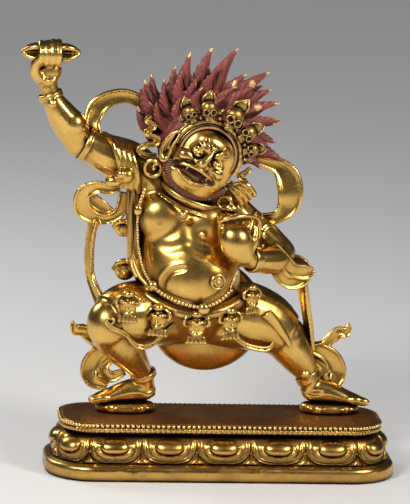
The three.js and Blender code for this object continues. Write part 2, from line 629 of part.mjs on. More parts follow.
// A broad lotus petal, standing out from the core, with a rounded boss where it faces the viewer.
function lotusPetal({ at, angle }, withBoss) {
  const middle = (petal.low + petal.high) / 2;
  const half = (petal.high - petal.low) / 2;
  const leaf = ball([0, 0, middle], [petal.halfWide, petal.bulge, half + 0.4], 9, 5);
  const boss = ball([0, -petal.bulge * 0.8, middle - 0.4], [petal.boss, 1.4, half * 0.55], 6, 3);
  const whole = withBoss ? leaf.add(boss) : leaf;
  return placed(whole, [...at, 0], 0, angle / degrees);
}

function plinth() {
  const edge = [base.halfWide, base.halfDeep, base.corner].map((size) => size - petal.inset);
  const round = 4 * (edge[0] + edge[1] - 2 * edge[2]) + 2 * Math.PI * edge[2];
  const petals = Array.from({ length: petal.count }, (_, index) => {
    const distance = ((index + 1) / petal.count - 0.5) * round;
    return lotusPetal(edgePoint(distance, ...edge), Math.abs(distance) < round * 0.3);
  });
  return join([plinthCore(), petals]);
}

function named(name, body, colour, roughness) {
  const geometry = toGeometry(plainer(body));
  geometry.computeVertexNormals();
  const material = new THREE.MeshStandardMaterial({ color: colour, roughness, metalness: 1 });
  const object = new THREE.Mesh(geometry, material);
  object.name = name;
  return object;
}

const statue = new THREE.Group();
statue.add(named('figure', figure(), 0xcc9438, 0.3), named('plinth', plinth(), 0xc28c34, 0.36));

export default statue;
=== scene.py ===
import math
import random

import bmesh
import bpy
import numpy as np
from mathutils import Matrix, Vector


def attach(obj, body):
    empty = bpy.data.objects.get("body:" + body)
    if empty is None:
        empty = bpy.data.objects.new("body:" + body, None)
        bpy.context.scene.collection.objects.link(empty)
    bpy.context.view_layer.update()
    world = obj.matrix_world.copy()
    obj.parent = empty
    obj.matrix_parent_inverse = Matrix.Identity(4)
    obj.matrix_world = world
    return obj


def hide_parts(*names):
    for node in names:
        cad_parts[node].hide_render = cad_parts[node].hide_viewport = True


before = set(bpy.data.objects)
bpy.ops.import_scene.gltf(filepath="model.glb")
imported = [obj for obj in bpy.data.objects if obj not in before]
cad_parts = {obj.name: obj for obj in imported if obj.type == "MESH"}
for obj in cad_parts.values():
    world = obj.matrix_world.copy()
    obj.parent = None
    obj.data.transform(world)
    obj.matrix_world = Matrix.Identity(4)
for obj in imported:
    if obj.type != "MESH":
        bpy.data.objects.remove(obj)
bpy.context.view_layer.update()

millimetre = 0.001  # everything is modelled in millimetres and made metres in finishPiece

# ---- helpers

def useOnly(obj):
    bpy.ops.object.select_all(action="DESELECT")
    obj.select_set(True)
    bpy.context.view_layer.objects.active = obj
    return obj


def current():
    return bpy.context.view_layer.objects.active


def modify(obj, kind, **settings):
    useOnly(obj)
    modifier = obj.modifiers.new(kind, kind)
    for key, value in settings.items():
        setattr(modifier, key, value)
    bpy.ops.object.modifier_apply(modifier=modifier.name)
    return obj


def spline(rows, steps):
    # a smooth run of values through the rows, position and size alike
    rows = np.array(rows, float)
    padded = np.vstack([2 * rows[0] - rows[1], rows, 2 * rows[-1] - rows[-2]])
    out = []
    for index in range(len(rows) - 1):
        a, b, c, d = padded[index:index + 4]
        for step in range(steps):
            t = step / steps
            out.append(0.5 * (2 * b + (c - a) * t + (2 * a - 5 * b + 4 * c - d) * t ** 2 + (3 * b - a - 3 * c + d) * t ** 3))
    out.append(rows[-1])
    return np.array(out)


def ringFrame(centre, along, facing, halfWide, halfDeep, turn):
    across = along.cross(facing).normalized()
    across.rotate(Matrix.Rotation(math.radians(turn), 3, along))
    deep = along.cross(across)
    columns = [across * halfWide, deep * halfDeep, along]
    matrix = Matrix([[column[row] for column in columns] + [centre[row]] for row in range(3)] + [[0, 0, 0, 1]])
    return matrix


def sweep(stations, facing=(0, 1, 0), sides=12, steps=4, profile=None):
    # a ring is extruded from station to station: [x, y, z, half width, half depth, turn about the path]
    full = [list(row) + [row[3] if len(row) == 4 else row[4]] * (len(row) == 4) for row in stations]
    full = [row + [0] * (6 - len(row)) for row in full]
    rows = spline(full, steps)
    rows[:, 3:5] = np.maximum(rows[:, 3:5], 0.05)
    points = [Vector(row[:3]) for row in rows]
    bpy.ops.object.select_all(action="DESELECT")
    bpy.ops.mesh.primitive_circle_add(vertices=len(profile) if profile else sides, radius=1, fill_type="NGON")
    obj = current()
    if profile:
        for vertex, (u, v) in zip(obj.data.vertices, profile):
            vertex.co = (u, v, 0)
    bpy.ops.object.mode_set(mode="EDIT")
    mesh = bmesh.from_edit_mesh(obj.data)
    last = Matrix.Identity(4)
    for index, row in enumerate(rows):
        if index:
            bpy.ops.mesh.extrude_region_move()
        along = (points[min(index + 1, len(points) - 1)] - points[max(index - 1, 0)]).normalized()
        place = ringFrame(points[index], along, Vector(facing), row[3], row[4], row[5])
        ring = [vertex for vertex in mesh.verts if vertex.select]
        bmesh.ops.transform(mesh, matrix=place @ last.inverted(), verts=ring)
        last = place
    bpy.ops.mesh.select_all(action="SELECT")
    bpy.ops.mesh.normals_make_consistent(inside=False)
    bpy.ops.object.mode_set(mode="OBJECT")
    return obj


def ball(at, radii, segments=24, rings=16, turn=(0, 0, 0)):
    bpy.ops.object.select_all(action="DESELECT")
    bpy.ops.mesh.primitive_uv_sphere_add(segments=segments, ring_count=rings, radius=1)
    obj = current()
    obj.scale = radii if hasattr(radii, "__len__") else (radii,) * 3
    obj.rotation_euler = [math.radians(angle) for angle in turn]
    obj.location = at
    bpy.ops.object.transform_apply()
    return obj


def bead(at, radius, level=2):
    bpy.ops.object.select_all(action="DESELECT")
    bpy.ops.mesh.primitive_ico_sphere_add(subdivisions=level, radius=radius, location=at)
    bpy.ops.object.transform_apply()
    return current()


def hoop(at, direction, radius, thick, around=40, section=12, squash=1):
    bpy.ops.object.select_all(action="DESELECT")
    bpy.ops.mesh.primitive_torus_add(major_radius=radius, minor_radius=thick, major_segments=around, minor_segments=section)
    obj = current()
    obj.scale = (1, squash, 1)
    obj.rotation_mode = "QUATERNION"
    obj.rotation_quaternion = Vector(direction).to_track_quat("Z", "Y")
    obj.location = at
    bpy.ops.object.transform_apply()
    return obj


def joined(parts, name=None):
    parts = flat(parts)
    bpy.ops.object.select_all(action="DESELECT")
    for part in parts:
        part.select_set(True)
    bpy.context.view_layer.objects.active = parts[0]
    if len(parts) > 1:
        bpy.ops.object.join()
    if name:
        parts[0].name = name
    return parts[0]


def flat(parts):
    if not isinstance(parts, (list, tuple)):
        return [parts]
    return [piece for part in parts for piece in flat(part)]


def fuse(parts, voxel, smooth=4, factor=0.5):
    # one skin round all the parts
    obj = joined(parts)
    modify(obj, "REMESH", mode="VOXEL", voxel_size=voxel, use_smooth_shade=True)
    if smooth:
        modify(obj, "SMOOTH", factor=factor, iterations=smooth)
    return obj


def copyOf(obj):
    twin = obj.copy()
    twin.data = obj.data.copy()
    bpy.context.scene.collection.objects.link(twin)
    return twin


def moved(obj, matrix):
    obj.data.transform(matrix)
    return obj


def read(obj):
    places = np.empty(len(obj.data.vertices) * 3, np.float32)
    obj.data.vertices.foreach_get("co", places)
    normals = np.empty_like(places)
    obj.data.vertex_normals.foreach_get("vector", normals)
    return places.reshape(-1, 3).astype(float), normals.reshape(-1, 3).astype(float)


def write(obj, places):
    obj.data.vertices.foreach_set("co", places.astype(np.float32).ravel())
    obj.data.update()


def stroke(obj, path, radius, depth, sharp=2.0, steps=8, side=None):
    # presses a groove (depth below 0) or lifts a ridge along a path drawn on the surface
    places, normals = read(obj)
    line = spline(path, steps) if len(path) > 1 else np.array(path, float)
    low, high = line.min(0) - radius, line.max(0) + radius
    near = np.where(((places > low) & (places < high)).all(1))[0]
    if side is not None:
        near = near[normals[near] @ np.array(side, float) > 0]
    if not len(near):
        return obj
    away = np.full(len(near), 1e9)
    for point in line:
        away = np.minimum(away, np.linalg.norm(places[near] - point, axis=1))
    share = np.clip(1 - away / radius, 0, 1)
    share = share ** sharp * (sharp + 1 - sharp * share) if sharp > 1 else share
    places[near] += normals[near] * (depth * share)[:, None]
    write(obj, places)
    return obj


def finishPiece(obj, name, material, stands=(), angle=50):
    useOnly(obj)
    obj.name = obj.data.name = name
    obj.data.transform(Matrix.Scale(millimetre, 4))
    obj.data.materials.clear()
    for one in material if isinstance(material, list) else [material]:
        obj.data.materials.append(one)
    if angle:
        bpy.ops.object.shade_smooth_by_angle(angle=math.radians(angle))
    else:
        bpy.ops.object.shade_smooth()
    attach(obj, "root")
    if stands:
        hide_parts(*stands)
    print("made", name, len(obj.data.polygons), "faces")
    return obj

# ---- finishes

def newTree(name, inputs, outputs):
    group = bpy.data.node_groups.new(name, "ShaderNodeTree")
    for label, kind in inputs:
        group.interface.new_socket(label, in_out="INPUT", socket_type=kind)
    for label, kind in outputs:
        group.interface.new_socket(label, in_out="OUTPUT", socket_type=kind)
    return group


def add(tree, kind, settings=None, **links):
    # a node with its settings, and each input as a value or as the socket that feeds it
    node = tree.nodes.new("ShaderNode" + kind)
    for key, value in (settings or {}).items():
        setattr(node, key, value)
    for key, value in links.items():
        socket = node.inputs[int(key[1:])] if key[0] == "i" and key[1:].isdigit() else node.inputs[key.replace("_", " ")]
        if isinstance(value, bpy.types.NodeSocket):
            tree.links.new(value, socket)
        else:
            socket.default_value = value
    return node


def ramp(tree, source, stops):
    node = add(tree, "ValToRGB", Fac=source)
    elements = node.color_ramp.elements
    while len(elements) < len(stops):
        elements.new(0.5)
    for element, (place, colour) in zip(elements, stops):
        element.position = place
        element.color = (*colour, 1) if len(colour) == 3 else colour
    return node.outputs["Color"]


def grey(value):
    return (value, value, value)


def math2(tree, operation, a, b, clamp=False):
    return add(tree, "Math", {"operation": operation, "use_clamp": clamp}, i0=a, i1=b).outputs[0]


def mixed(tree, factor, a, b, blend="MIX"):
    node = add(tree, "Mix", {"data_type": "RGBA", "blend_type": blend}, i0=factor, i6=a, i7=b)
    return node.outputs[2]


def makeWearAndPaintedLight():
    # tops that rubbing has made brighter, which are also a painted highlight, soiling and painted shade held in the
    # hollows, blotches of old lacquer and fine scratches
    group = newTree("wearAndPaintedLight", [("Open", "NodeSocketFloat"), ("Edge", "NodeSocketFloat"), ("Dirt", "NodeSocketFloat"),
                                 ("Blotch", "NodeSocketFloat"), ("Scratch", "NodeSocketFloat")],
                    [("HollowDirtAndShade", "NodeSocketFloat"), ("RubbedAndHighlight", "NodeSocketFloat"), ("Stain", "NodeSocketFloat"),
                     ("Rough", "NodeSocketFloat"), ("Height", "NodeSocketFloat")])
    enter, leave = group.nodes.new("NodeGroupInput"), group.nodes.new("NodeGroupOutput")
    place = add(group, "TexCoord").outputs["Object"]
    wide = add(group, "TexNoise", Vector=place, Scale=70.0, Detail=4.0, Roughness=0.6).outputs["Fac"]
    fine = add(group, "TexNoise", Vector=place, Scale=900.0, Detail=3.0, Roughness=0.7).outputs["Fac"]
    turned = add(group, "Mapping", Vector=place, Rotation=(0.5, 0.9, 0.3), Scale=(1, 9, 1)).outputs[0]
    lines = add(group, "TexNoise", Vector=turned, Scale=620.0, Detail=2.0, Roughness=0.5).outputs["Fac"]
    shut = math2(group, "SUBTRACT", 1.0, enter.outputs["Open"], True)
    uneven = math2(group, "MULTIPLY_ADD", wide, 0.9)
    uneven.node.inputs[2].default_value = 0.55
    # hollows found by ambient occlusion get soiling and painted shade together
    hollowDirtAndShade = math2(group, "MULTIPLY", math2(group, "MULTIPLY", shut, uneven), enter.outputs["Dirt"], True)
    # convex edges found by pointiness get rubbing and a painted highlight together
    rubbedAndHighlight = math2(group, "MULTIPLY", enter.outputs["Edge"], uneven, True)
    blot = ramp(group, wide, [(0.42, grey(0)), (0.66, grey(1))])
    stain = math2(group, "MULTIPLY", blot, enter.outputs["Blotch"], True)
    scratch = ramp(group, lines, [(0.6, grey(0)), (0.68, grey(1))])
    scratched = math2(group, "MULTIPLY", scratch, enter.outputs["Scratch"])
    rough = math2(group, "ADD", math2(group, "MULTIPLY", stain, 0.5), math2(group, "MULTIPLY", scratched, 0.6))
    rough = math2(group, "ADD", rough, math2(group, "MULTIPLY", hollowDirtAndShade, 0.6), True)
    height = math2(group, "SUBTRACT", math2(group, "MULTIPLY", fine, 0.35), math2(group, "MULTIPLY", scratched, 0.5))
    height = math2(group, "ADD", height, math2(group, "MULTIPLY", wide, 0.9))
    for label, socket in (("HollowDirtAndShade", hollowDirtAndShade), ("RubbedAndHighlight", rubbedAndHighlight), ("Stain", stain), ("Rough", rough), ("Height", height)):
        group.links.new(socket, leave.inputs[label])
    return group


wearAndPaintedLight = makeWearAndPaintedLight()


def castMetal(name, body, wearAndHighlight, grimeAndShade, rough=(0.24, 0.55), metallic=1.0, reach=3.0, dirt=1.3, blotch=0.35, scratch=0.3,
              edge=(0.5, 0.62), bump=0.08):
    material = bpy.data.materials.new(name)
    material.use_nodes = True
    tree = material.node_tree
    shader = tree.nodes["Principled BSDF"]
    # ambient occlusion finds the hollows that get soiling and painted shade
    open_ = add(tree, "AmbientOcclusion", {"samples": 8}, Distance=reach * millimetre).outputs["AO"]
    point = add(tree, "NewGeometry").outputs["Pointiness"]
    edges = ramp(tree, point, [(edge[0], grey(0)), (edge[1], grey(1))])
    surfaceMask = add(tree, "Group", {"node_tree": wearAndPaintedLight}, Open=open_, Edge=edges, Dirt=dirt, Blotch=blotch, Scratch=scratch)
    colour = mixed(tree, surfaceMask.outputs["Stain"], (*body[0], 1), (*body[1], 1))
    # convex edges take the lighter colour: gilding bared by rubbing and a painted highlight together
    colour = mixed(tree, surfaceMask.outputs["RubbedAndHighlight"], colour, (*wearAndHighlight, 1))
    # hollows take the near-black colour: soiling and painted shade together
    colour = mixed(tree, surfaceMask.outputs["HollowDirtAndShade"], colour, (*grimeAndShade, 1))
    tree.links.new(colour, shader.inputs["Base Color"])
    spread = add(tree, "MapRange", Value=surfaceMask.outputs["Rough"])
    spread.inputs["To Min"].default_value, spread.inputs["To Max"].default_value = rough
    tree.links.new(spread.outputs[0], shader.inputs["Roughness"])
    shader.inputs["Metallic"].default_value = metallic
    relief = add(tree, "Bump", Height=surfaceMask.outputs["Height"], Strength=bump, Distance=0.0004)
    tree.links.new(relief.outputs[0], shader.inputs["Normal"])
    return material


# on the gilt finishes the lighter edge colour is also a painted highlight; on every finish the near-black colour in the
# hollows is soiling and painted shade
giltBronze = castMetal("giltBronze", [(0.8, 0.5, 0.125), (0.58, 0.32, 0.07)], (0.95, 0.7, 0.29), (0.055, 0.02, 0.004), dirt=1.7,
                       reach=3.5, blotch=0.5)
giltDeep = castMetal("giltDeep", [(0.66, 0.39, 0.095), (0.38, 0.2, 0.045)], (0.92, 0.64, 0.24), (0.035, 0.012, 0.003), dirt=2.2,
                     reach=2.6, blotch=0.7)
giltWornTop = castMetal("giltWornTop", [(0.42, 0.21, 0.075), (0.22, 0.1, 0.035)], (0.75, 0.42, 0.16), (0.06, 0.025, 0.01),
                        rough=(0.42, 0.85), blotch=1.0, scratch=0.9, bump=0.2)
redPaint = castMetal("redPaint", [(0.15, 0.03, 0.018), (0.09, 0.016, 0.01)], (0.75, 0.42, 0.17), (0.025, 0.006, 0.004),
                     rough=(0.42, 0.8), metallic=0.15, reach=3.0, dirt=1.6, blotch=0.7, edge=(0.52, 0.66), bump=0.25)
giltDark = castMetal("giltDark", [(0.5, 0.31, 0.085), (0.26, 0.14, 0.04)], (0.85, 0.6, 0.25), (0.02, 0.008, 0.003), rough=(0.34, 0.7), dirt=2.6,
                     reach=2.0, blotch=0.9)
print("finishes made")

# ---- body

torsoShape = {"voxel": 0.58, "smooth": 5}


def arms():
    upper = sweep([[-24, 6, 106, 8.4, 8.4], [-31, 6, 113, 8.6, 8.4], [-38, 6, 118.5, 8.8, 8.4], [-47, 5, 122.3, 7.8, 7.4],
                   [-53, 4.4, 125.2, 6.4, 6.2], [-58, 4, 127.4, 5.9, 5.9]])
    fore = sweep([[-57, 4, 126.6, 5.6, 5.6], [-60.2, 2.8, 131.4, 6.4, 6.2], [-64.2, 1.6, 137, 5.9, 5.8],
                  [-68, 0.6, 143, 4.3, 4.4], [-70, 0, 148, 3.6, 3.7], [-70.4, -0.4, 152, 4.2, 3.8]])
    lowUpper = sweep([[1, 7, 102, 7, 7], [8, 6, 95.6, 7.2, 7], [14.5, 4.5, 91.2, 6.6, 6.8], [21, 1, 86, 5.8, 6]])
    lowFore = sweep([[21.4, 0.6, 85.4, 5.6, 5.6], [17, -5.5, 84, 6, 5.6], [11.5, -11, 84.8, 4.9, 4.7], [7, -14, 86, 3.7, 3.7]],
                    facing=(0, 0, 1))
    return [upper, fore, lowUpper, lowFore, ball((-57.4, 3.9, 126.9), 6), ball((21, 0.5, 85.4), 6.1),
            ball((-60.5, 1, 134), (5.6, 5.2, 6), turn=(0, -30, 0)), ball((-41, 4, 122), (7.6, 6.6, 6.2), turn=(0, 25, 0))]


def raisedHand():
    palm = ball((-70, 0.6, 154.4), (5, 3.8, 5.2))
    thumb = sweep([[-72.8, -1.6, 150.6, 2.1], [-75.4, -3.2, 154, 2.1], [-75.6, -4.4, 158, 1.7], [-73.6, -5.2, 160.4, 1.4]])
    fingers = []
    for index in range(4):
        x = -73.6 + index * 2.35
        lift = 0.5 * (index > 1)
        fingers.append(sweep([[x, 3, 155.4, 1.3], [x, 2.4, 160, 1.3], [x, 0.4, 164.4 + lift, 1.25], [x, -3.4, 165.4 + lift, 1.2],
                              [x, -5.9, 162.4, 1.15], [x, -5.4, 158.8, 1.1], [x, -3.6, 157, 0.9]], facing=(1, 0, 0)))
    return [palm, thumb] + fingers


def loweredHand():
    # the hand is bent up before the breast, a dome from the front, its fingers hooked back under a rim
    palm = sweep([[7.4, -13.4, 86, 3.8, 3.6], [4.6, -15.4, 88, 5, 4.2], [2.2, -16.6, 91.6, 6.2, 4.8], [1.4, -16.4, 95.4, 6, 4.4],
                  [1.4, -15, 98.4, 4.4, 3]], sides=20)
    fingers = []
    for index in range(4):
        x = -3.6 + index * 2.7
        fingers.append(sweep([[x, -15.4, 94, 1.4], [x - 0.3, -15, 98.6, 1.5], [x, -12.4, 101.4, 1.4], [x + 0.6, -9, 101, 1.2], [x + 1, -7, 98.6, 1]], facing=(1, 0, 0)))
    rim = sweep([[-4.4, -14.6, 98, 0.8], [-4, -17.4, 101.2, 0.9], [0, -18.2, 102.6, 0.95], [5, -16.6, 103, 0.95], [9.4, -13, 101.8, 1.1], [11, -9, 98, 1.4],
                 [10.4, -8, 93, 1.6], [8.6, -11, 88.6, 1.6]])
    thumb = sweep([[6.6, -15.6, 88, 1.6], [8.8, -15.6, 92, 1.7], [9.6, -14.6, 96.4, 1.4], [9, -13.8, 99.4, 1]])
    return [palm, thumb, rim] + fingers


def foot(x, y, way):
    sole = 24.9
    length = 23.4
    rows = [(0.0, 2.2, 2.4, 0.4), (0.05, 3.6, 3.8, 0), (0.16, 4.7, 4.4, 0), (0.3, 4.8, 4.3, 0), (0.5, 4, 4.8, 0), (0.72, 2.7, 5.3, 0),
            (0.88, 1.9, 5.3, 0), (0.97, 1.3, 4.6, 0)]
    body = sweep([[x + way * length * share, y - 1.4 * share, sole + tall + lift, tall, wide] for share, tall, wide, lift in rows])
    toes = []
    for toe in range(5):
        radius = 1.75 - toe * 0.14
        reach = length * 0.97 - (toe - 0.6) ** 2 * 0.28
        side = y - 5.9 + toe * 2.35
        toes.append(ball((x + way * reach, side, sole + radius + 0.1), (2.9, radius * 0.78, radius), 16, 10))
        toes.append(ball((x + way * (reach - 2.9), side + 0.1, sole + radius + 0.7), (3, radius * 0.8, radius), 16, 10))
    return [body] + toes


def legs():
    bent = sweep([[-12, 7, 61, 13, 11], [-26, 3, 61, 13, 12.5], [-38, -4, 61.4, 12.2, 12.2], [-45, -8, 60, 9.6, 9.8]], sides=24)
    bentShin = sweep([[-45, -7.6, 58, 8, 8.6], [-43, -5.4, 54, 8.4, 8.6], [-38, -2, 47.5, 7.4, 7.8], [-32.6, 2, 40.4, 5, 5.6],
                      [-29.8, 4.2, 35, 3.9, 4.3], [-29, 5, 31, 4, 4.2], [-29, 5, 27.6, 4.4, 4.6]], sides=20)
    straight = sweep([[-8, 7, 60, 12.5, 11], [6, 7.5, 59.6, 13.8, 12.5], [17, 7.5, 56.8, 12.2, 11.4], [25, 7.5, 51.6, 9.4, 9.6]], sides=24)
    straightShin = sweep([[23, 7.5, 52.6, 8.4, 8.6], [27.2, 7.5, 47.6, 8.2, 8.4], [31, 7.4, 42, 6.6, 7], [34.2, 7.2, 37, 4.7, 5],
                          [36.2, 7, 32.6, 3.8, 4.1], [37, 7, 28, 4.2, 4.4]], sides=20)
    knees = [ball((-45, -8, 58.4), (8.4, 8.8, 9.8)), ball((25.4, 7.5, 50.6), (8.4, 8.8, 8.8))]
    return [bent, bentShin, straight, straightShin, knees, foot(-26, 5, -1), foot(33.4, 7, 1)]


def torso():
    trunk = sweep([[-10, 7, 54, 15, 10], [-11.5, 3, 64, 18, 13.4], [-13, 0.4, 73, 19.2, 15.8], [-14, 0.8, 82, 19, 15], [-15, 2.8, 92, 18.4, 12.6],
                   [-15.6, 4.4, 101, 17, 10.2], [-14, 5, 108.6, 10, 8.2], [-12, 4, 116, 6.6, 6.6]], sides=32)
    belly = ball((-8.4, -3.2, 77.6), (13, 12.2, 11.6))
    breasts = [ball((-24.8, -2.2, 99), (10.4, 6.6, 9.6), turn=(0, 20, 0)), ball((-9, -3.8, 96.6), (10, 6.4, 9), turn=(0, -8, 0))]
    shoulders = [ball((-27.6, 6, 107), (9.4, 8.6, 8.8)), ball((1.6, 7, 101), (8.6, 8, 8))]
    back = [ball((-22, 9.6, 98), (9, 6, 12)), ball((-7, 9.6, 96), (9, 6, 12)), ball((-12, 8, 66), (17, 10, 11))]
    return [trunk, belly, breasts, shoulders, back]


def makeBody():
    chest = fuse([torso()], 0.9, 26)
    body = fuse([chest, arms(), raisedHand(), loweredHand(), legs()], torsoShape["voxel"], torsoShape["smooth"])
    # folds of flesh: under the breasts and between them, over the belly and under it
    stroke(body, [(-35, -5, 93), (-30, -9.4, 90.4), (-23, -11.6, 89.4), (-17, -12, 90.6), (-11, -13, 88), (-4, -13.4, 88), (2, -8, 91)], 3.4, -0.8)
    stroke(body, [(-17.2, -9, 105), (-17.2, -10.6, 99), (-16.8, -12, 92)], 3.2, -0.7)
    stroke(body, [(-26.4, -10.6, 74), (-26, -11.4, 78), (-23.6, -12.8, 81.6), (-20, -14, 83.4), (-17, -14.6, 83.6)], 1.4, 0.7)
    stroke(body, [(-24.4, -11.6, 74), (-24, -12.4, 77.4), (-21.6, -13.6, 80.4), (-17.6, -14.8, 81.6)], 1.5, -0.9)
    stroke(body, [(-32, -7, 71), (-26, -11, 69.4), (-19, -14.6, 67.4), (-10, -16.4, 66), (-3, -15, 68), (3, -10, 72)], 2.6, -1.0)
    for nipple in ((-27, -9.4, 96.4), (-10, -10.6, 94)):
        stroke(body, [nipple], 2.4, 0.5)
        stroke(body, [nipple], 1.1, 0.9)
    # the creases of wrist, elbow and ankle
    for path in ([(-72.8, -3.6, 149.4), (-70, -4.6, 149.6), (-66.8, -3, 149.8)], [(-53.6, -2, 124.4), (-55, -1.4, 128), (-57, 0, 131)],
                 [(17.4, -2.4, 89), (20.6, -4.8, 86), (21.4, -4.6, 82)], [(-33.4, -0.4, 31), (-29.4, -0.2, 30.2), (-25.4, 1.6, 31)],
                 [(33.4, 2.6, 30), (37, 2.4, 29.4), (41, 3.4, 30)]):
        stroke(body, path, 1.5, -0.5)
    return finishPiece(body, "body", giltBronze, stands=("figure",), angle=0)


makeBody()

# ---- plinth

plinthShape = {"halfWide": 67.8, "halfDeep": 24, "corner": 18.5, "columns": 680, "petals": 16, "petalLow": 6.6, "petalHigh": 17,
               "pearlInset": 5.9, "pearlHeight": 20.65, "pearlRadius": 0.78, "pearls": 172}


def outline(share, inset):
    # a point of the rounded rectangle and the way it faces, by its share of the way round from the front's middle
    corner = plinthShape["corner"] - inset
    straight = plinthShape["halfWide"] - plinthShape["corner"]
    side = plinthShape["halfDeep"] - plinthShape["corner"]
    fullCorner = plinthShape["corner"]
    quarter = fullCorner * math.pi / 2
    distance = (share % 1) * (4 * straight + 4 * side + 4 * quarter)
    mirror = 1
    if distance > 2 * straight + 2 * side + 2 * quarter:
        distance = 4 * straight + 4 * side + 4 * quarter - distance
        mirror = -1
    if distance < straight:
        return mirror * distance, -side - corner, 0.0
    distance -= straight
    if distance < quarter:
        angle = distance / fullCorner
        return mirror * (straight + corner * math.sin(angle)), -side - corner * math.cos(angle), mirror * angle
    distance -= quarter
    if distance < 2 * side:
        return mirror * (straight + corner), -side + distance, mirror * math.pi / 2
    distance -= 2 * side
    if distance < quarter:
        angle = distance / fullCorner + math.pi / 2
        return mirror * (straight + corner * math.sin(angle)), side - corner * math.cos(angle), mirror * angle
    return mirror * (straight - (distance - quarter)), side + corner, mirror * math.pi


def petalRelief(share, z, around):
    low, high = plinthShape["petalLow"], plinthShape["petalHigh"]
    up = (z - low) / (high - low)
    x = np.abs(((share * plinthShape["petals"] + 0.5) % 1) - 0.5) * 2
    reach = (x ** 3.0 + np.clip(1 - up, 0, 1.2) ** 3.4) ** (1 / 3.2)
    swell = 1.5 * np.clip(1 - (reach / 1.02) ** 4, 0, 1)
    rims = 0.55 * np.exp(-((reach - 0.965) / 0.028) ** 2) + 0.42 * np.exp(-((reach - 0.86) / 0.026) ** 2)
    dish = -0.35 * np.clip(1 - (reach / 0.8) ** 2, 0, 1)
    boss = ((x / 0.52) ** 2.4 + (np.abs(up - 0.63) / 0.27) ** 2.4) ** (1 / 2.4)
    dome = 2.1 * np.sqrt(np.clip(1 - boss ** 2.2, 0, 1))
    lip = 0.4 * np.exp(-((boss - 1.2) / 0.07) ** 2) * (up < 0.7)
    dot = 0.6 * np.exp(-((x / 0.07) ** 2 + ((up - 0.24) / 0.055) ** 2))
    sepalHalf = 0.3 * np.clip(1 - up / 0.44, 0, 1) ** 1.7
    sepal = 1.0 * np.clip((sepalHalf - (1 - x)) / 0.09 + 0.2, 0, 1) * (reach > 1.0)
    crease = 0.4 * np.exp(-((1 - x) / 0.02) ** 2) * (up < 0.42)
    fade = np.clip(up / 0.05, 0, 1) * np.clip((1.02 - up) / 0.16, 0, 1)
    return fade * (swell + rims + dish + dome + lip + dot + sepal + crease)


def makePlinth():
    levels = [[1.0, 0], [0.3, 0.35], [0, 1.0], [0, 2.2], [0, 3.6], [0.05, 4.7], [0.5, 5.5], [1.2, 5.95], [1.7, 6.05], [2.0, 6.3], [2.9, 6.5],
              [3.6, 6.65]]
    levels += [[3.7 + 1.7 * t + 3.0 * t ** 4, 6.8 + 10 * t] for t in np.linspace(0, 1, 38)]
    levels += [[8.3, 17.1], [7.4, 17.5], [6.5, 17.8], [5.9, 18.1], [5.6, 18.5], [5.5, 19.0], [5.6, 19.5], [5.95, 19.8], [6.1, 20.1], [6.1, 20.6],
               [6.2, 21.0], [6.6, 21.4], [7.2, 21.5], [8, 21.48]]
    levels = np.array(levels)
    columns = plinthShape["columns"]
    bpy.ops.object.select_all(action="DESELECT")
    bpy.ops.mesh.primitive_grid_add(x_subdivisions=columns, y_subdivisions=len(levels) - 1, size=2)
    band = current()
    places, _ = read(band)
    share = (places[:, 0] + 1) / 2
    row = np.rint((places[:, 1] + 1) / 2 * (len(levels) - 1)).astype(int)
    inset, z = levels[row, 0], levels[row, 1]
    around = 2 * math.pi * share
    petals = np.where((z > 6.7) & (z < 17.05), petalRelief(share, z, around), 0)
    reeds = np.where((z > 17.9) & (z < 19.6), 0.22 * np.cos(around * 172 / 1.0), 0)
    out = inset - petals - reeds
    made = [outline(s, i) for s, i in zip(share, out)]
    places = np.array([[x, y, height] for (x, y, _), height in zip(made, z)])
    write(band, places)
    useOnly(band)
    bpy.ops.object.mode_set(mode="EDIT")
    bpy.ops.mesh.select_all(action="SELECT")
    bpy.ops.mesh.remove_doubles(threshold=0.01)
    bpy.ops.mesh.select_all(action="DESELECT")
    bpy.ops.mesh.select_mode(type="EDGE")
    bpy.ops.mesh.select_non_manifold(extend=False, use_boundary=True, use_wire=False, use_multi_face=False, use_non_contiguous=False,
                                     use_verts=False)
    bpy.ops.mesh.fill_holes(sides=0)
    bpy.ops.mesh.select_mode(type="FACE")
    bpy.ops.mesh.select_all(action="SELECT")
    bpy.ops.mesh.normals_make_consistent(inside=False)
    bpy.ops.object.mode_set(mode="OBJECT")
    random.seed(4)
    for _ in range(26):  # dents and flats of handling along the foot band
        x, y, _facing = outline(random.random(), 0)
        stroke(band, [(x, y, random.uniform(2, 5.6))], random.uniform(1.6, 4), -random.uniform(0.1, 0.3))
    top = finishPiece(band, "plinthBody", [giltDeep, giltWornTop], stands=("plinth",), angle=40)
    for face in top.data.polygons:
        face.material_index = int(face.normal.z > 0.9 and face.center.z > 0.0213)
    pearl = ball((0, 0, 0), (0.86, 0.8, 0.78), 10, 7)
    pearls = []
    for index in range(plinthShape["pearls"]):
        x, y, angle = outline(index / plinthShape["pearls"], plinthShape["pearlInset"])
        pearls.append(moved(copyOf(pearl), Matrix.Translation((x, y, plinthShape["pearlHeight"])) @ Matrix.Rotation(angle, 4, "Z")))
    bpy.data.objects.remove(pearl)
    finishPiece(joined(pearls), "pearlRim", giltBronze, angle=0)


makePlinth()

# ---- head, modelled upright about its own centre and then leaned over

headPlace = Matrix.Translation((-11.4, -1, 122)) @ Matrix.Rotation(math.radians(30), 4, "Y") @ Matrix.Rotation(math.radians(5), 4, "Z")
headShape = {"voxel": 0.3, "smooth": 3}


def onCircle(angle, radius, y):
    return [radius * math.sin(math.radians(angle)), y, radius * math.cos(math.radians(angle))]


def thread(points, radius, **more):
    return sweep([[*point[:3], point[3] if len(point) > 3 else radius] for point in points], sides=10, **more)


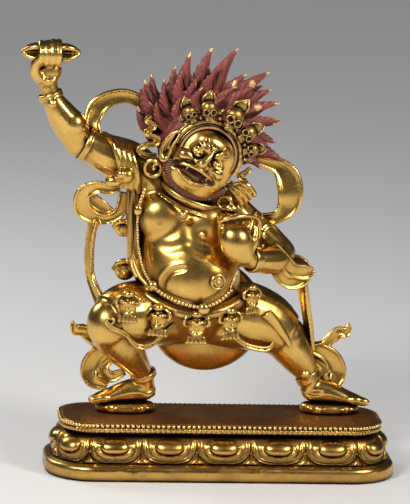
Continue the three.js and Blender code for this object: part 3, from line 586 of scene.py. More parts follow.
def makeHead():
    skull = ball((0, 0, 0), 1, 48, 32)
    places, _ = read(skull)
    write(skull, np.sign(places) * np.abs(places) ** 0.64 * (13.3, 11.9, 15) + (2.2, 0.4, -1.5))
    bone = [skull, ball((2, -4, -9.4), (9, 7.4, 5.4)), ball((1.8, -7.6, 6), (8.4, 4.6, 5))]
    nose = [ball((0.2, -13.2, -1.2), (2.3, 2.6, 1.9)), ball((-2.1, -12.3, -1.7), (1.7, 1.8, 1.3)), ball((2.5, -12.3, -1.8), (1.7, 1.8, 1.3)),
            thread([(1.8, -12.2, 4.4, 1.2), (1.2, -13.4, 1.8, 1.4), (0.4, -14.2, -0.6, 1.5)], 1.3)]
    cheeks = [ball((-5.2, -10.4, -2), (3.8, 1.8, 2.6)), ball((7.8, -10.2, -2.4), (3.2, 1.8, 2.5))]
    head = fuse([bone, nose, cheeks], headShape["voxel"], 5)
    # the mouth is a wide crescent with its corners turned down
    for path, radius, depth in ((mouthLine, 2.3, -2.6), ([(-3.4, -10.4, -7), (0.6, -11, -7.2), (4.6, -10.4, -7)], 1.8, -1.8)):
        stroke(head, path, radius, depth)
    for x, z in headShape["eyes"]:
        stroke(head, [(x - 1.9, -12.2, z + 0.3), (x, -12.8, z), (x + 1.9, -12.2, z - 0.2)], 2.6, -1.3)
    stroke(head, [(0.4, -13.4, 3.4), (-0.4, -12.8, 5.4)], 1.2, -0.7)
    stroke(head, [(3.2, -13.4, 3.4), (3.9, -12.6, 5)], 1.2, -0.7)
    stroke(head, [(-2.4, -13, -2), (-5.6, -12.2, -4), (-9, -9.6, -6.2)], 1.4, -0.8)
    stroke(head, [(4.6, -13, -2), (7.8, -11.6, -4), (10.4, -9.2, -6)], 1.4, -0.8)
    lips = [thread([(-8, -9.8, -7, 0.35), (-5.6, -11.8, -5, 0.6), (-1.8, -13.4, -3.9, 0.8), (1.4, -13.8, -3.8, 0.8), (4.6, -13, -4.3, 0.75),
                    (7.4, -11.2, -5.2, 0.55), (9, -9.6, -6.8, 0.3)], 0.7),
            thread([(-6.6, -10.2, -7.8, 0.35), (-3.2, -11.6, -9, 0.7), (0.6, -12.4, -9.5, 0.9), (4.4, -11.6, -8.8, 0.7), (7.8, -9.8, -7.2, 0.35)], 0.7),
            ball((0.8, -12.8, -9.7), (1.3, 0.9, 0.9), 16, 12)]
    fangs = [sweep([[x, -12.2, -4.6, 0.5], [x + 0.1, -12.3, -5.8, 0.34], [x + 0.2, -12, -6.8, 0.08]], sides=8) for x in (-3.6, 5.2)]
    eyes = []
    for x, z in headShape["eyes"]:
        eyes.append(ball((x, -11.7, z), (1.7, 1.3, 1.15)))
        eyes.append(ball((x + 0.3, -12.9, z - 0.1), (0.6, 0.5, 0.6), 14, 10))
        eyes.append(thread([(x - 2.5, -11.4, z + 0.9, 0.2), (x - 1.1, -12.8, z + 1.6, 0.42), (x + 0.7, -13, z + 1.3, 0.46), (x + 2.3, -12.4, z - 0.6, 0.2)], 0.4))
        eyes.append(thread([(x - 2.4, -11.4, z + 0.7, 0.2), (x - 0.8, -12.5, z - 1.2, 0.34), (x + 0.9, -12.7, z - 1.45, 0.34), (x + 2.2, -12.3, z - 0.7, 0.2)], 0.3))
    third = [ball((1.9, -12.6, 6), (0.75, 0.8, 0.9), 14, 10), hoop((1.9, -12.5, 6), (0, -1, 0.25), 1.25, 0.26, 20, 8)]
    brows = []
    for way, x0 in ((-1, 0.6), (1, 3.2)):
        for lock, (run, rise) in enumerate(((6, 1.8), (5, 3.5), (3.4, 4.8))):
            brows.append(thread([(x0, -13.3, 3.2 + lock * 0.4, 0.3), (x0 + way * run * 0.35, -13.4, 4 + lock * 0.7, 0.55),
                                 (x0 + way * run * 0.7, -12.6, 3.8 + rise * 0.6, 0.45), (x0 + way * run, -11.7 + lock * 0.3, 3.7 + rise, 0.1)], 0.5))
    ears = [thread([(-12.2, -8.2, 3.6, 0.4), (-12.9, -9, 4.6, 0.6), (-14.3, -8.4, 2.4, 0.75), (-14.9, -7.8, -1.6, 0.8), (-14.4, -7.8, -5.6, 0.9), (-12.4, -8.6, -8, 1.1),
                    (-11.4, -8.8, -6.4, 0.8), (-12.1, -9, -2, 0.6), (-12, -9, 2, 0.5), (-12.2, -8.6, 3.4, 0.4)], 0.6),
            ball((-13.3, -6.6, -1.4), (1.3, 1.6, 6)), thread([(-13.4, -8.6, 2.6, 0.3), (-13.6, -8.6, 0, 0.35), (-13.2, -8.6, -3.6, 0.3)], 0.3),
            thread([(12.2, -7.8, 3.8, 0.5), (13.4, -6.8, 2.4, 0.6), (14, -6.6, -1, 0.6), (13.4, -7.4, -5, 0.9), (12.2, -8.4, -3, 0.6), (11.9, -8.6, 1, 0.5)], 0.6),
            ball((12.9, -6, -1), (1.2, 1.5, 5))]
    whole = fuse([head, lips, fangs, eyes, third, brows, ears], headShape["voxel"], 1)
    places, _ = read(whole)
    line = spline(mouthLine, 12)
    away = np.min([np.linalg.norm((places - point) * (1, 0.55, 1.0), axis=1) for point in line], axis=0)
    away = np.where(places[:, 1] < -11.9, 9, away)
    # the mouth mask marks red lacquer dark enough to stand for painted shade as well
    dark = whole.data.attributes.new("mouth", "FLOAT", "POINT")
    dark.data.foreach_set("value", np.clip((1.9 - away) * 2, 0, 1).astype(np.float32))
    return finishPiece(moved(whole, headPlace @ Matrix.Translation((-2.2, 0, 1.3))), "head", giltFace, angle=0)


def makeFaceMetal():
    # the same gilding, with dark red lacquer left inside the mouth, made near black so that it is also painted shade in
    # the open mouth
    material = castMetal("giltFace", [(0.8, 0.5, 0.125), (0.6, 0.34, 0.075)], (0.95, 0.7, 0.29), (0.04, 0.013, 0.003), dirt=2.2, reach=2.2, blotch=0.4)
    tree = material.node_tree
    shader = tree.nodes["Principled BSDF"]
    mouth = add(tree, "Attribute", {"attribute_name": "mouth"}).outputs["Fac"]
    under = shader.inputs["Base Color"].links[0].from_socket
    tree.links.new(mixed(tree, mouth, under, (0.045, 0.008, 0.004, 1)), shader.inputs["Base Color"])
    tree.links.new(math2(tree, "SUBTRACT", 1.0, mouth), shader.inputs["Metallic"])
    return material


mouthLine = [(-7.4, -9.4, -6.6), (-3.8, -10.6, -5.9), (0.6, -11, -6), (4.6, -10.4, -6), (8.2, -9.2, -6.2)]
headShape["eyes"] = ((-3.2, 1.9), (5.9, 1.5))
giltFace = makeFaceMetal()
makeHead()


def arc(start, end, radius, y, wide, deep, count=24, wave=0.0, profile=None, sides=14):
    rows = []
    for index in range(count + 1):
        angle = start + (end - start) * index / count
        rows.append([*onCircle(angle, radius + wave * (index % 2), y), wide, deep])
    return sweep(rows, sides=sides, steps=2, profile=profile)


squareBand = [(1, -0.9), (0.9, -1), (-0.85, -0.92), (-1, -0.8), (-1, 0.8), (-0.9, 1), (0.9, 1), (1, 0.9)]


bandPlace = Matrix.Translation((-0.6, 0, 3.3))  # the diadem's centre on the head


def makeDiadem():
    band = arc(-98, 98, 12.9, -5.8, 1.5, 2.8, 36, sides=20)
    edges = [arc(-96, 96, 14.1, -7, 0.35, 0.5, 30), arc(-96, 96, 11.7, -8, 0.3, 0.45, 30)]
    for angle in range(-90, 91, 12):  # seams across the band
        stroke(band, [onCircle(angle, radius, -8.6 + abs(radius - 12.9)) for radius in (11.4, 12.2, 13, 13.8, 14.4)], 0.5, -0.25)
    return finishPiece(moved(joined([band, edges]), headPlace @ bandPlace), "diadem", giltBronze)


def makeHairline():
    rows = []
    for index in range(74):
        angle = -100 + index * 2.6
        rows.append(moved(ball(onCircle(angle, 10.9, -9), (0.5, 0.9, 0.6), 8, 6), bandPlace))
    curls = []
    for index in range(54):
        angle = 112 + index * 2.5
        root, tip = onCircle(angle, 12.4, -8.4), onCircle(angle + 5, 15.2, -6)
        middle = onCircle(angle + 2.6, 14, -8.4)
        curls.append(sweep([[*root, 0.4], [*middle, 0.62], [*tip, 0.25]], sides=6, steps=2))
    base = arc(108, 250, 13.6, -6.4, 1.3, 1.9, 24)
    obj = fuse([curls, base], 0.28, 1)
    places, normals = read(obj)
    bearing = np.degrees(np.arctan2(places[:, 0], places[:, 2]))
    strokes = np.sin(np.radians(bearing * 96 + 120 * np.hypot(places[:, 0], places[:, 2])))
    write(obj, places + normals * (0.22 * strokes)[:, None])
    obj = joined([obj] + rows + [moved(arc(-100, 100, 10.9, -8.4, 0.55, 1.2, 30), bandPlace)])
    return finishPiece(moved(obj, headPlace), "beard", redPaint, angle=0)


makeDiadem()
makeHairline()

# ---- flaming hair

flame = {"voxel": 0.44, "flutes": 5,
         "far": [[-84, 30], [-68, 36], [-56, 33], [-47, 36], [-37, 40], [-25, 42], [-12, 44], [-1, 37], [9, 42.6], [17, 38.5], [26, 38], [38, 34],
                 [49, 28], [58, 32]]}


def tongueOfFire(angle, reach, y, width, lean, start=11.0, hook=1.6):
    # a leaf-shaped lock, broad for most of its length, bent one way and hooked the other way at its tip
    rows = []
    for share, wide, off in ((0, 0.9, 0), (0.25, 1.0, -0.4), (0.48, 1.06, -0.9), (0.64, 0.9, -1.0), (0.78, 0.62, -0.5), (0.9, 0.34, 0.2), (1, 0.06, 0.9)):
        radius = start + (reach - start) * share
        turn = angle + lean * (1 - share) + off * hook * 57 / radius
        rows.append([*onCircle(turn, radius, y + 1.0 * share * (1 if y > 8 else -1)), width * wide, width * 0.36 * wide + 0.3])
    count = flame["flutes"] * 4
    profile = []
    for index in range(count):
        angle0 = 2 * math.pi * index / count
        dent = 1 - 0.2 * (0.5 + 0.5 * math.cos(flame["flutes"] * angle0))
        ridge = 1 + 0.35 * abs(math.sin(angle0)) ** 6
        profile.append((math.cos(angle0) * dent, math.sin(angle0) * dent * ridge))
    return sweep(rows, facing=(0, 1, 0), steps=3, profile=profile)


def makeHair():
    random.seed(11)
    locks, tips = [ball((-1, 4.5, 3), (16.6, 9, 16.4)), ball((0, 8, 4), (17, 6, 17))], []

    def lock(angle, reach, y, width, lean):
        locks.append(tongueOfFire(angle, reach, y, width, lean))
        if y == 8.5 or random.random() < 0.25:
            tips.append(onCircle(angle + 1, reach, y))
    for angle, reach in flame["far"]:
        lock(angle, reach, 8.5, reach / 12 if reach > 35 else 2.4, -3)
    for index in range(12):
        angle = -86 + index * 13.4 + random.uniform(-2, 2)
        lock(angle, 30.5 + 4.2 * (index % 2) + random.uniform(-1, 1), 6.6, 2.9, -4)
    for index in range(11):
        angle = -76 + index * 12.6 + random.uniform(-2, 2)
        lock(angle, 32 + 4 * (index % 2) + random.uniform(-1, 1.4), 11.4, 3, -4)
    for index in range(9):
        angle = -60 + index * 13 + random.uniform(-2, 2)
        lock(angle, 26 + 3 * (index % 2), 14.4, 3, -5)
    for index in range(9):
        angle = -92 + index * 20
        lock(angle, 25 + 2.6 * (index % 2), 3.6, 2.7, -5)
    hair = fuse(locks, flame["voxel"], 1)
    places, normals = read(hair)
    radius = np.hypot(places[:, 0], places[:, 2])
    bearing = np.degrees(np.arctan2(places[:, 0], places[:, 2]))
    streak = np.sin(np.radians(bearing * 110 + 160 * np.sin(radius * 0.22) + places[:, 1] * 50)) * np.clip((radius - 14) / 4, 0, 1)
    places = places + normals * (streak * np.clip((44 - radius) / 12, 0.3, 1) * (0.1 + 0.12 * np.sin(bearing * 0.31) ** 2))[:, None]
    write(hair, places)
    away = np.full(len(places), 1e9)
    for tip in tips:
        away = np.minimum(away, np.linalg.norm(places - np.array(tip), axis=1))
    wearAndHighlight = hair.data.attributes.new("tipWear", "FLOAT", "POINT")
    wearAndHighlight.data.foreach_set("value", np.clip(1.1 - away / 3.2, 0, 1).astype(np.float32))
    return finishPiece(moved(hair, headPlace), "flamingHair", redHair, angle=0)


def makeRedHair():
    # the lighter red on the edges is paint thinned by rubbing and a painted highlight; the near-black red in the
    # hollows is soiling and painted shade
    material = castMetal("redHair", [(0.25, 0.048, 0.034), (0.15, 0.026, 0.019)], (0.5, 0.2, 0.11), (0.035, 0.007, 0.005),
                         rough=(0.4, 0.8), metallic=0.1, reach=3.5, dirt=1.5, blotch=0.8, edge=(0.53, 0.7), bump=0.3)
    tree = material.node_tree
    shader = tree.nodes["Principled BSDF"]
    tip = add(tree, "Attribute", {"attribute_name": "tipWear"}).outputs["Fac"]
    noise = add(tree, "TexNoise", Vector=add(tree, "TexCoord").outputs["Object"], Scale=260.0, Detail=3.0).outputs["Fac"]
    surfaceMask = math2(tree, "MULTIPLY", tip, math2(tree, "MULTIPLY", noise, 2.2))
    mask = ramp(tree, surfaceMask, [(0.5, grey(0)), (0.78, grey(1))])
    under = shader.inputs["Base Color"].links[0].from_socket
    tree.links.new(mixed(tree, mask, under, (0.85, 0.58, 0.26, 1)), shader.inputs["Base Color"])
    metal = math2(tree, "MAXIMUM", mask, 0.1)
    tree.links.new(metal, shader.inputs["Metallic"])
    return material


redHair = makeRedHair()
makeHair()

# ---- crown of skulls

skulls = [(-54, 16.8, -7.6, 2.6), (-30, 16.8, -8.6, 3.0), (3, 16.4, -9.6, 3.7), (31, 16.6, -8.6, 3.0), (54, 16.6, -7.2, 2.6)]


def bareSkull(size):
    # a dome with ringed sockets, a nose hole and a row of teeth
    dome = [ball((0, 0.2, 0.5), (1, 0.85, 0.95), 20, 14), ball((0, -0.1, -0.6), (0.62, 0.6, 0.6), 16, 10)]
    parts = [moved(part, Matrix.Scale(size, 4)) for part in dome]
    for way in (-1, 1):
        parts.append(hoop((way * 0.46 * size, -0.72 * size, 0.08 * size), (way * 0.35, -1, 0), 0.36 * size, 0.13 * size, 20, 8))
    for tooth in range(4):
        parts.append(ball(((tooth - 1.5) * 0.24 * size, -0.62 * size, -0.95 * size), (0.11 * size, 0.12 * size, 0.2 * size), 8, 6))
    skull = fuse(parts, 0.24, 1)
    for way in (-1, 1):
        stroke(skull, [(way * 0.46 * size, -0.8 * size, 0.08 * size)], 0.36 * size, -0.7 * size, side=(0, -1, 0))
    stroke(skull, [(0, -0.8 * size, -0.3 * size)], 0.2 * size, -0.3 * size, side=(0, -1, 0))
    return skull


def crownLeaf(size):
    # a rounded leaf with a rolled edge and a flame point
    parts = [sweep([[0, 0.4, 0.4, 1.0, 0.4], [0, 0, 1.2, 1.25, 0.42], [0.15, -0.2, 2.0, 0.95, 0.36], [0.35, 0, 2.7, 0.45, 0.26], [0.5, 0.4, 3.2, 0.06, 0.1]], sides=14),
             sweep([[-0.9, -0.2, 0.6, 0.16], [-1.15, -0.4, 1.5, 0.18], [-0.5, -0.5, 2.3, 0.16], [0.35, -0.2, 3, 0.1]], sides=8),
             sweep([[0.9, -0.2, 0.6, 0.16], [1.15, -0.4, 1.4, 0.18], [0.95, -0.5, 2.2, 0.16], [0.45, -0.2, 3, 0.1]], sides=8)]
    return moved(joined(parts), Matrix.Scale(size, 4))


def makeCrown():
    parts = []
    for angle, radius, y, size in skulls:
        turn = Matrix.Rotation(math.radians(angle), 4, "Y")
        parts.append(moved(bareSkull(size), Matrix.Translation(onCircle(angle, radius, y)) @ turn))
        parts.append(moved(crownLeaf(size * 0.66), Matrix.Translation(onCircle(angle, radius + size * 0.7, y + 2)) @ turn))
    for angle in (-66, -42, -13, 18, 43, 66):
        parts.append(bead(onCircle(angle, 14.8, -8.4), 0.7))
        parts.append(moved(crownLeaf(1.1), Matrix.Translation(onCircle(angle, 15, -6)) @ Matrix.Rotation(math.radians(angle), 4, "Y")))
    return finishPiece(moved(joined(parts), headPlace @ bandPlace), "skullCrown", giltDark)


makeCrown()

# ---- long scarf

scarfShape = {"half": 2.9, "thick": 1.1}
rolled = [(-1, 0), (-0.97, 0.7), (-0.84, 1), (-0.7, 0.8), (-0.6, 0.42), (0, 0.3), (0.6, 0.42), (0.7, 0.8), (0.84, 1), (0.97, 0.7),
          (1, 0), (0.97, -0.7), (0.84, -1), (0.7, -0.8), (0.6, -0.42), (0, -0.3), (-0.6, -0.42), (-0.7, -0.8), (-0.84, -1), (-0.97, -0.7)]


def ribbon(points, half=None, steps=5, **more):
    half = half or scarfShape["half"]
    rows = []
    for point in points:
        turn, share = (list(point[3:]) + [0, 1][len(point[3:]):])[:2]
        rows.append([*point[:3], half * share, scarfShape["thick"], turn])
    return sweep(rows, steps=steps, profile=rolled, **more)


def bunched(path, count, shift, radius=1.4):
    return [sweep([[x + shift[0] * fold, y + shift[1] * fold, z + shift[2] * fold, radius] for x, y, z in path], facing=(1, 0, 0), sides=10)
            for fold in range(count)]


def scarfEnd(way):
    root = (-38.6, 6, 46.4) if way < 0 else (34.6, 8, 46.4)
    slide = 3.4 if way < 0 else 0

    def place(points, shift=0):
        return [[root[0] + way * (x + shift), root[1] + y, root[2] + z, turn, share] for x, y, z, share, turn in points]
    hook = ribbon(place([[-2, 0, 1, 0.8, 0], [4.4, 0.4, -0.8, 1, 0], [9.6, 1, -4, 1.2, 0], [12.2, 1, -9.4, 1.2, 0], [10.6, 0, -13.6, 1, 0],
                         [5, -1, -15.4, 0.6, 0]]))
    fold = ribbon(place([[0, 0.6, -2.4, 0.7, 0], [4.8, 1, -5.4, 0.8, 0], [6.6, 0.6, -9, 0.7, 0], [3.6, 0, -12, 0.8, 0], [-1.6, -0.6, -9.6, 0.5, 0]]))
    twist = ribbon(place([[2.6, 0, 0.4, 0.8, 30], [6, 0.6, 1.4, 0.8, 40], [9.4, 0.4, 4.4, 0.9, 20], [11.8, 0, 6.6, 0.8, -20], [14.6, 0, 6.4, 0.7, 0],
                          [15.8, 0, 10, 0.15, 30]], slide))
    return [hook, fold, twist]


def makeLeftScarf():
    arch = ribbon([[-26, 9, 135, 0, 0.7], [-28.6, 9.4, 138, 0, 0.8], [-33, 10, 141.3, 0, 0.9], [-40, 10, 143.8, 0, 1], [-46.9, 9, 142.3, 0, 1.15],
                   [-51, 8, 138.6, 0, 1.3], [-52.6, 6, 133.6, 0, 1.1], [-50.4, 4, 128, 0, 0.8]])
    wrap = bunched([[-46, 12, 121], [-48, 6, 129.4], [-44.6, -2.6, 127], [-42, -4.4, 119], [-41, -1, 111]], 4, (2.1, 0, -0.9), 1.3)
    loop = ribbon([[-40, -1, 114.6, 0, 0.7], [-44.3, -1, 109.8, 0, 0.75], [-50.5, -0.5, 110, 0, 0.9], [-55.4, 1, 107.4, 0, 1], [-55.6, 2, 101.4, 0, 1.2],
                   [-51, 3, 97.6, 0, 0.9], [-44.8, 3, 97.4, 0, 0.7], [-40.8, 3, 100.4, 0, 0.8], [-39.4, 2, 108, 0, 0.8]])
    lining = ribbon([[-57, 3, 107.4, 0, 0.9], [-50, 4.4, 102.8, 0, 1], [-43, 3.6, 98, 0, 0.7]])
    fall = ribbon([[-50.9, 3, 97, 50, 0.8], [-52, 4, 89.4, 60, 0.8], [-52.2, 4, 80, 60, 0.8], [-51.2, 3, 73.2, 60, 0.8], [-48, -2, 66, 50, 1]])
    bow = [ball((-44.6, -5.4, 113.4), (3.4, 2.4, 2.4)), ball((-39.6, -5.6, 115.6), (2.6, 2.2, 3)), ball((-42, -6.4, 116.4), 2)]
    obj = fuse([arch, wrap, loop, lining, fall, bow, scarfEnd(-1)], 0.4, 1)
    return finishPiece(obj, "leftScarf", giltBronze)


def makeRightScarf():
    ring = ribbon([[7, 8, 121, 0, 0.5], [11, 8, 120.4, 0, 0.7], [15, 8, 119.4, 0, 0.8], [20, 8, 118, 0, 1.2], [23.6, 7, 114, 0, 1.7],
                   [24.8, 6, 108, 0, 1.75], [23.8, 6, 102.4, 0, 1.5], [20, 5.4, 98.6, 0, 0.9], [13.6, 5, 97.8, 0, 0.75], [8, 3, 96, 0, 0.8]])
    wrap = bunched([[9.4, 12, 93], [11.4, 6, 100.6], [9.6, -1, 98.4], [7.4, -3, 91.6], [6, 4, 86.6]], 3, (-1.7, 0, -0.9), 1.2)
    loop = ribbon([[15, -2, 90, 0, 0.8], [17.6, -4, 83, 0, 0.8], [20.2, -4.4, 78, 0, 0.8], [24.2, -3.6, 74.8, 0, 0.9], [29, -1.6, 75.2, 0, 1],
                   [31, 1, 78.6, 0, 1], [28.6, 2, 82, 0, 0.8], [23, 2.4, 83, 0, 0.8]])
    cross = ribbon([[17, -6.6, 89, 0, 0.9], [21.6, -6, 84.6, 0, 0.9], [25.6, -4, 80, 0, 1], [31, -2, 78.6, 0, 1.1], [34.4, -1, 79.4, 0, 0.4]])
    fall = ribbon([[30, 1, 74.6, 40, 0.8], [32, 3, 65, 60, 0.8], [33.8, 5, 56, 60, 0.8], [35, 7.4, 46, 50, 0.9]])
    obj = fuse([ring, wrap, loop, cross, fall, scarfEnd(1)], 0.4, 1)
    return finishPiece(obj, "rightScarf", giltBronze)


def makeRibbons():
    left = ribbon([[-30.6, 0, 138, 0, 0.8], [-32.2, -1, 136.3, 0, 1], [-29.4, -1.5, 134.3, 0, 1], [-32.4, -2, 132.2, 0, 1], [-31, -2, 130.8, 0, 1], [-28, -2.5, 129.7, 0, 1],
                   [-28.8, -2.5, 127.8, 0, 1], [-32.3, -2.6, 127.2, 0, 1], [-35, -2.6, 125.2, 0, 1], [-32.8, -2.6, 123.2, 0, 1], [-28.2, -2.5, 123, 0, 1]], half=1.15)
    right = ribbon([[8, -2, 119, 0, 0.7], [6, -2.4, 117, 0, 1], [3.8, -3, 115.6, 0, 1], [6, -3, 113.8, 0, 1], [4.4, -3, 112, 0, 1], [1.6, -3.6, 112.6, 0, 1], [0, -4, 113.4, 0, 1]],
                   half=1.1)
    pleats = [sweep([[-1.6 + pleat * 0.5, -4, 112.6, 0.7], [2 + pleat * 1.5, -4.4, 109.6 + pleat * 1.1, 1.1], [4.4 + pleat * 1.7, -3.4, 105.4 + pleat * 1.3, 1.2],
                     [4.6 + pleat * 1.9, -2.6, 103.4 + pleat * 1.5, 0.3]], sides=10) for pleat in range(4)]
    obj = fuse([left, right, pleats], 0.3, 1)
    return finishPiece(obj, "hairRibbons", giltBronze)


def makeSideDrape():
    strips = [sweep([[-36.4 + dx, 1 + dy, 116, 0.9, 2.4], [-36.2 + dx, 1 + dy, 104, 1, 3], [-35.6 + dx, dy, 92, 1.1, 3], [-35 + dx, dy, 82, 1, 3],
                     [-32 + dx, -4 + dy, 75, 1, 3]], sides=12) for dx, dy in ((0, 0), (-1.8, 0.8), (1.4, 0.6))]
    knots = []
    for x, y, z, size in ((-39.6, 3, 93.8, 3.8), (-38.4, 3, 77.6, 4.6)):
        knots += [hoop((x, y, z), (0.2, -1, 0.1), size * 0.6, size * 0.34, 24, 12), ball((x, y, z), (size * 0.7, size * 0.5, size * 0.7))]
        knots.append(thread([(x - size, y, z, 0.9), (x - size * 0.4, y - 3, z + size * 0.8, 1), (x + size, y - 2, z + size * 0.6, 0.9)], 1))
    return finishPiece(fuse([strips, knots], 0.38, 1), "sideDrape", giltBronze)


makeLeftScarf()
makeRightScarf()
makeRibbons()
makeSideDrape()

# ---- skirt and its hangings

def makeSkirt():
    apron = ball((-6, 9, 59), (22.5, 8.5, 22.2), 48, 32)
    hips = sweep([[-31, -5, 69.6, 2.6, 4.4], [-22, -10, 65.4, 3, 4.6], [-12, -12, 63.6, 3, 4.6], [-2, -10.5, 65.4, 3, 4.6], [7, -4, 69, 2.6, 4.4]])
    obj = fuse([apron, hips], 0.8, 3)
    stroke(obj, [(-24, 0, 66), (-15, -1, 52), (-5, 0, 47), (6, 0, 52), (15, 1, 62)], 2, 0.6)
    return finishPiece(obj, "apron", giltDeep)


def doubled(path, gap=0.9, radius=0.55):
    lines = [[(x, y, z, radius) for x, y, z in path], [(x, y, z + gap * 1.5, radius * 0.8) for x, y, z in path]]
    return [thread(line, radius) for line in lines]


def makeHems():
    left = doubled([(-46, -17.4, 60), (-44, -17.6, 58), (-39, -15.6, 55.6), (-36, -13.6, 52), (-32.4, -12.4, 49.8), (-28, -11.4, 51), (-24.4, -9.8, 54),
                    (-19, -8, 58.6), (-16, -7, 60)])
    right = doubled([(-1, -7, 58), (3.3, -6, 53.6), (8.4, -5, 49.6), (13.6, -4, 47.9), (17.6, -3, 47.8), (20, -1.6, 50)])
    curl = thread([(-44, -17, 58.6, 0.6), (-46.6, -17.6, 60.4, 0.6), (-46, -18, 62.8, 0.55), (-43.6, -18, 62.2, 0.5), (-44.4, -18, 60.6, 0.4)], 0.6)
    sash = sweep([[16, -5, 63, 2.4, 1], [20.4, -3.4, 58, 2, 1], [24.6, -2.4, 52, 1.4, 1], [26, -2, 48.6, 0.4, 0.6]])
    return finishPiece(fuse([left, right, curl, sash], 0.32, 1), "skirtHems", giltBronze)


def beltMask(size):
    # a bulging mask under a knot, with a curl at each side and a fringe of beads
    parts = [ball((0, 0, 0), (1, 0.75, 1.15)), ball((0, -0.5, -0.25), (0.32, 0.4, 0.4), 12, 8), ball((0, -0.2, 1.5), (0.7, 0.6, 0.5)),
             thread([(-0.9, -0.3, 0.6, 0.24), (-0.4, -0.75, 0.62, 0.26), (0, -0.6, 0.2, 0.2)], 0.2),
             thread([(0.9, -0.3, 0.6, 0.24), (0.4, -0.75, 0.62, 0.26), (0, -0.6, 0.2, 0.2)], 0.2),
             thread([(-0.7, -0.4, -0.55, 0.16), (0, -0.78, -0.75, 0.2), (0.7, -0.4, -0.55, 0.16)], 0.2)]
    for way in (-1, 1):
        parts.append(ball((way * 0.42, -0.62, 0.2), (0.2, 0.2, 0.18), 10, 8))
        parts.append(thread([(way * 0.8, 0, 1.3, 0.24), (way * 1.3, -0.1, 0.9, 0.26), (way * 1.35, -0.1, 0.3, 0.24), (way * 1.05, -0.2, 0.1, 0.18)], 0.24))
    for drop in range(5):
        x = (drop - 2) * 0.42
        parts.append(sweep([[x, -0.3, -1, 0.16], [x * 1.15, -0.35, -1.45, 0.18], [x * 1.2, -0.3, -1.8, 0.24], [x * 1.2, -0.3, -2, 0.06]], sides=8, steps=3))
    return moved(joined(parts), Matrix.Scale(size, 4))


def makeBeltMasks():
    places = [(-26.4, -14, 61.6, 3.3, -20), (-11.9, -15.6, 59.4, 3.4, -4), (1.1, -12.8, 60.4, 3.3, 18), (9.6, -8, 69, 3, 34), (-38.4, -17.4, 67.4, 3.2, -14)]
    masks = []
    for x, y, z, size, turn in places:
        masks.append(moved(beltMask(size), Matrix.Translation((x, y, z)) @ Matrix.Rotation(math.radians(turn), 4, "Z")))
    return finishPiece(fuse(masks, 0.3, 1), "beltMasks", giltBronze)


makeSkirt()
makeHems()
makeBeltMasks()

# ---- sceptre

def makeSceptre():
    x, y, z, half, fat = -69.6, -2, 161.9, 11.2, 3.5
    parts = [sweep([[x - half, y, z, 0.4], [x - half * 0.8, y, z, 0.9], [x - half * 0.3, y, z, 1.5], [x, y, z, 2.1], [x + half * 0.3, y, z, 1.5],
                    [x + half * 0.8, y, z, 0.9], [x + half, y, z, 0.4]])]
    for way in (-1, 1):
        parts.append(hoop((x + way * half * 0.24, y, z), (1, 0, 0), 1.8, 0.55, 24, 10))
        for prong in range(4):
            angle = math.radians(prong * 90 + 45)
            rows = []
            for share, radius, size in ((0.16, 1.2, 0.9), (0.3, fat * 0.72, 1.15), (0.5, fat * 0.9, 1.15), (0.72, fat * 0.7, 1), (0.9, 1.1, 0.75), (1.0, 0.5, 0.4)):
                rows.append([x + way * half * share, y + radius * math.cos(angle), z + radius * math.sin(angle), size])
            parts.append(sweep(rows, facing=(0.1, math.cos(angle), math.sin(angle)), sides=10))
    return finishPiece(fuse(parts, 0.28, 1), "sceptre", giltBronze)


makeSceptre()

# ---- jewellery

beadLine = {"pitch": 1.35, "radius": 0.62}


def alongPath(path, pitch):
    line = spline(path, 24)
    lengths = np.concatenate([[0], np.cumsum(np.linalg.norm(np.diff(line, axis=0), axis=1))])
    count = max(2, int(lengths[-1] / pitch))
    return [np.array([np.interp(lengths[-1] * i / count, lengths, line[:, k]) for k in range(3)]) for i in range(count + 1)]


def strand(path, radius=None, pitch=None, core=True):
    radius = radius or beadLine["radius"]
    places = alongPath(path, pitch or beadLine["pitch"])
    model = bead((0, 0, 0), radius)
    parts = [moved(copyOf(model), Matrix.Translation(tuple(place))) for place in places]
    bpy.data.objects.remove(model)
    if core:
        parts.append(thread([(*point, radius * 0.55) for point in path], radius))
    return parts


def makeStrands():
    upper = strand([[-32.6, -5.4, 110.4], [-33.8, -5.6, 107], [-34.8, -5.8, 103]], 0.85, 1.2)
    garland = strand([[-35, -5.8, 101], [-35, -6.2, 96], [-34.4, -7, 88], [-32.4, -9.4, 80], [-29, -12, 74.4]], 0.6, 1.02)
    cord = thread([(-36.4, -2, 112, 0.8), (-37.2, -3, 104, 0.8), (-37.2, -3.6, 96, 0.8), (-36.6, -4.4, 86, 0.8), (-34, -8, 78, 0.8), (-30, -11, 73.6, 0.8)], 0.8)
    right = strand([[2, -6, 104], [4.6, -9.6, 94], [4, -12, 83], [0.8, -14.4, 75]])
    girdle = strand([[-29, -11.8, 74], [-24, -14.6, 71], [-17.4, -16.6, 68.6], [-10.4, -17, 67.4], [-4, -16, 69.4], [1, -13.6, 73.4]], 0.85, 1.5)
    noose = thread([(-1.6, -17.6, 92, 0.4), (1.4, -19, 89.4, 0.4), (2.4, -18.4, 86, 0.4)], 0.4)
    clasps = [ball((-35, -6.8, 102.6), (1.5, 1.1, 2.1)), ball((-9.6, -17.6, 66.8), (2.2, 1.4, 2.2)), ball((-29, -12, 74.4), (2, 1.6, 2))]
    return finishPiece(joined([upper, garland, cord, right, girdle, noose, clasps]), "beadStrands", giltBronze, angle=0)


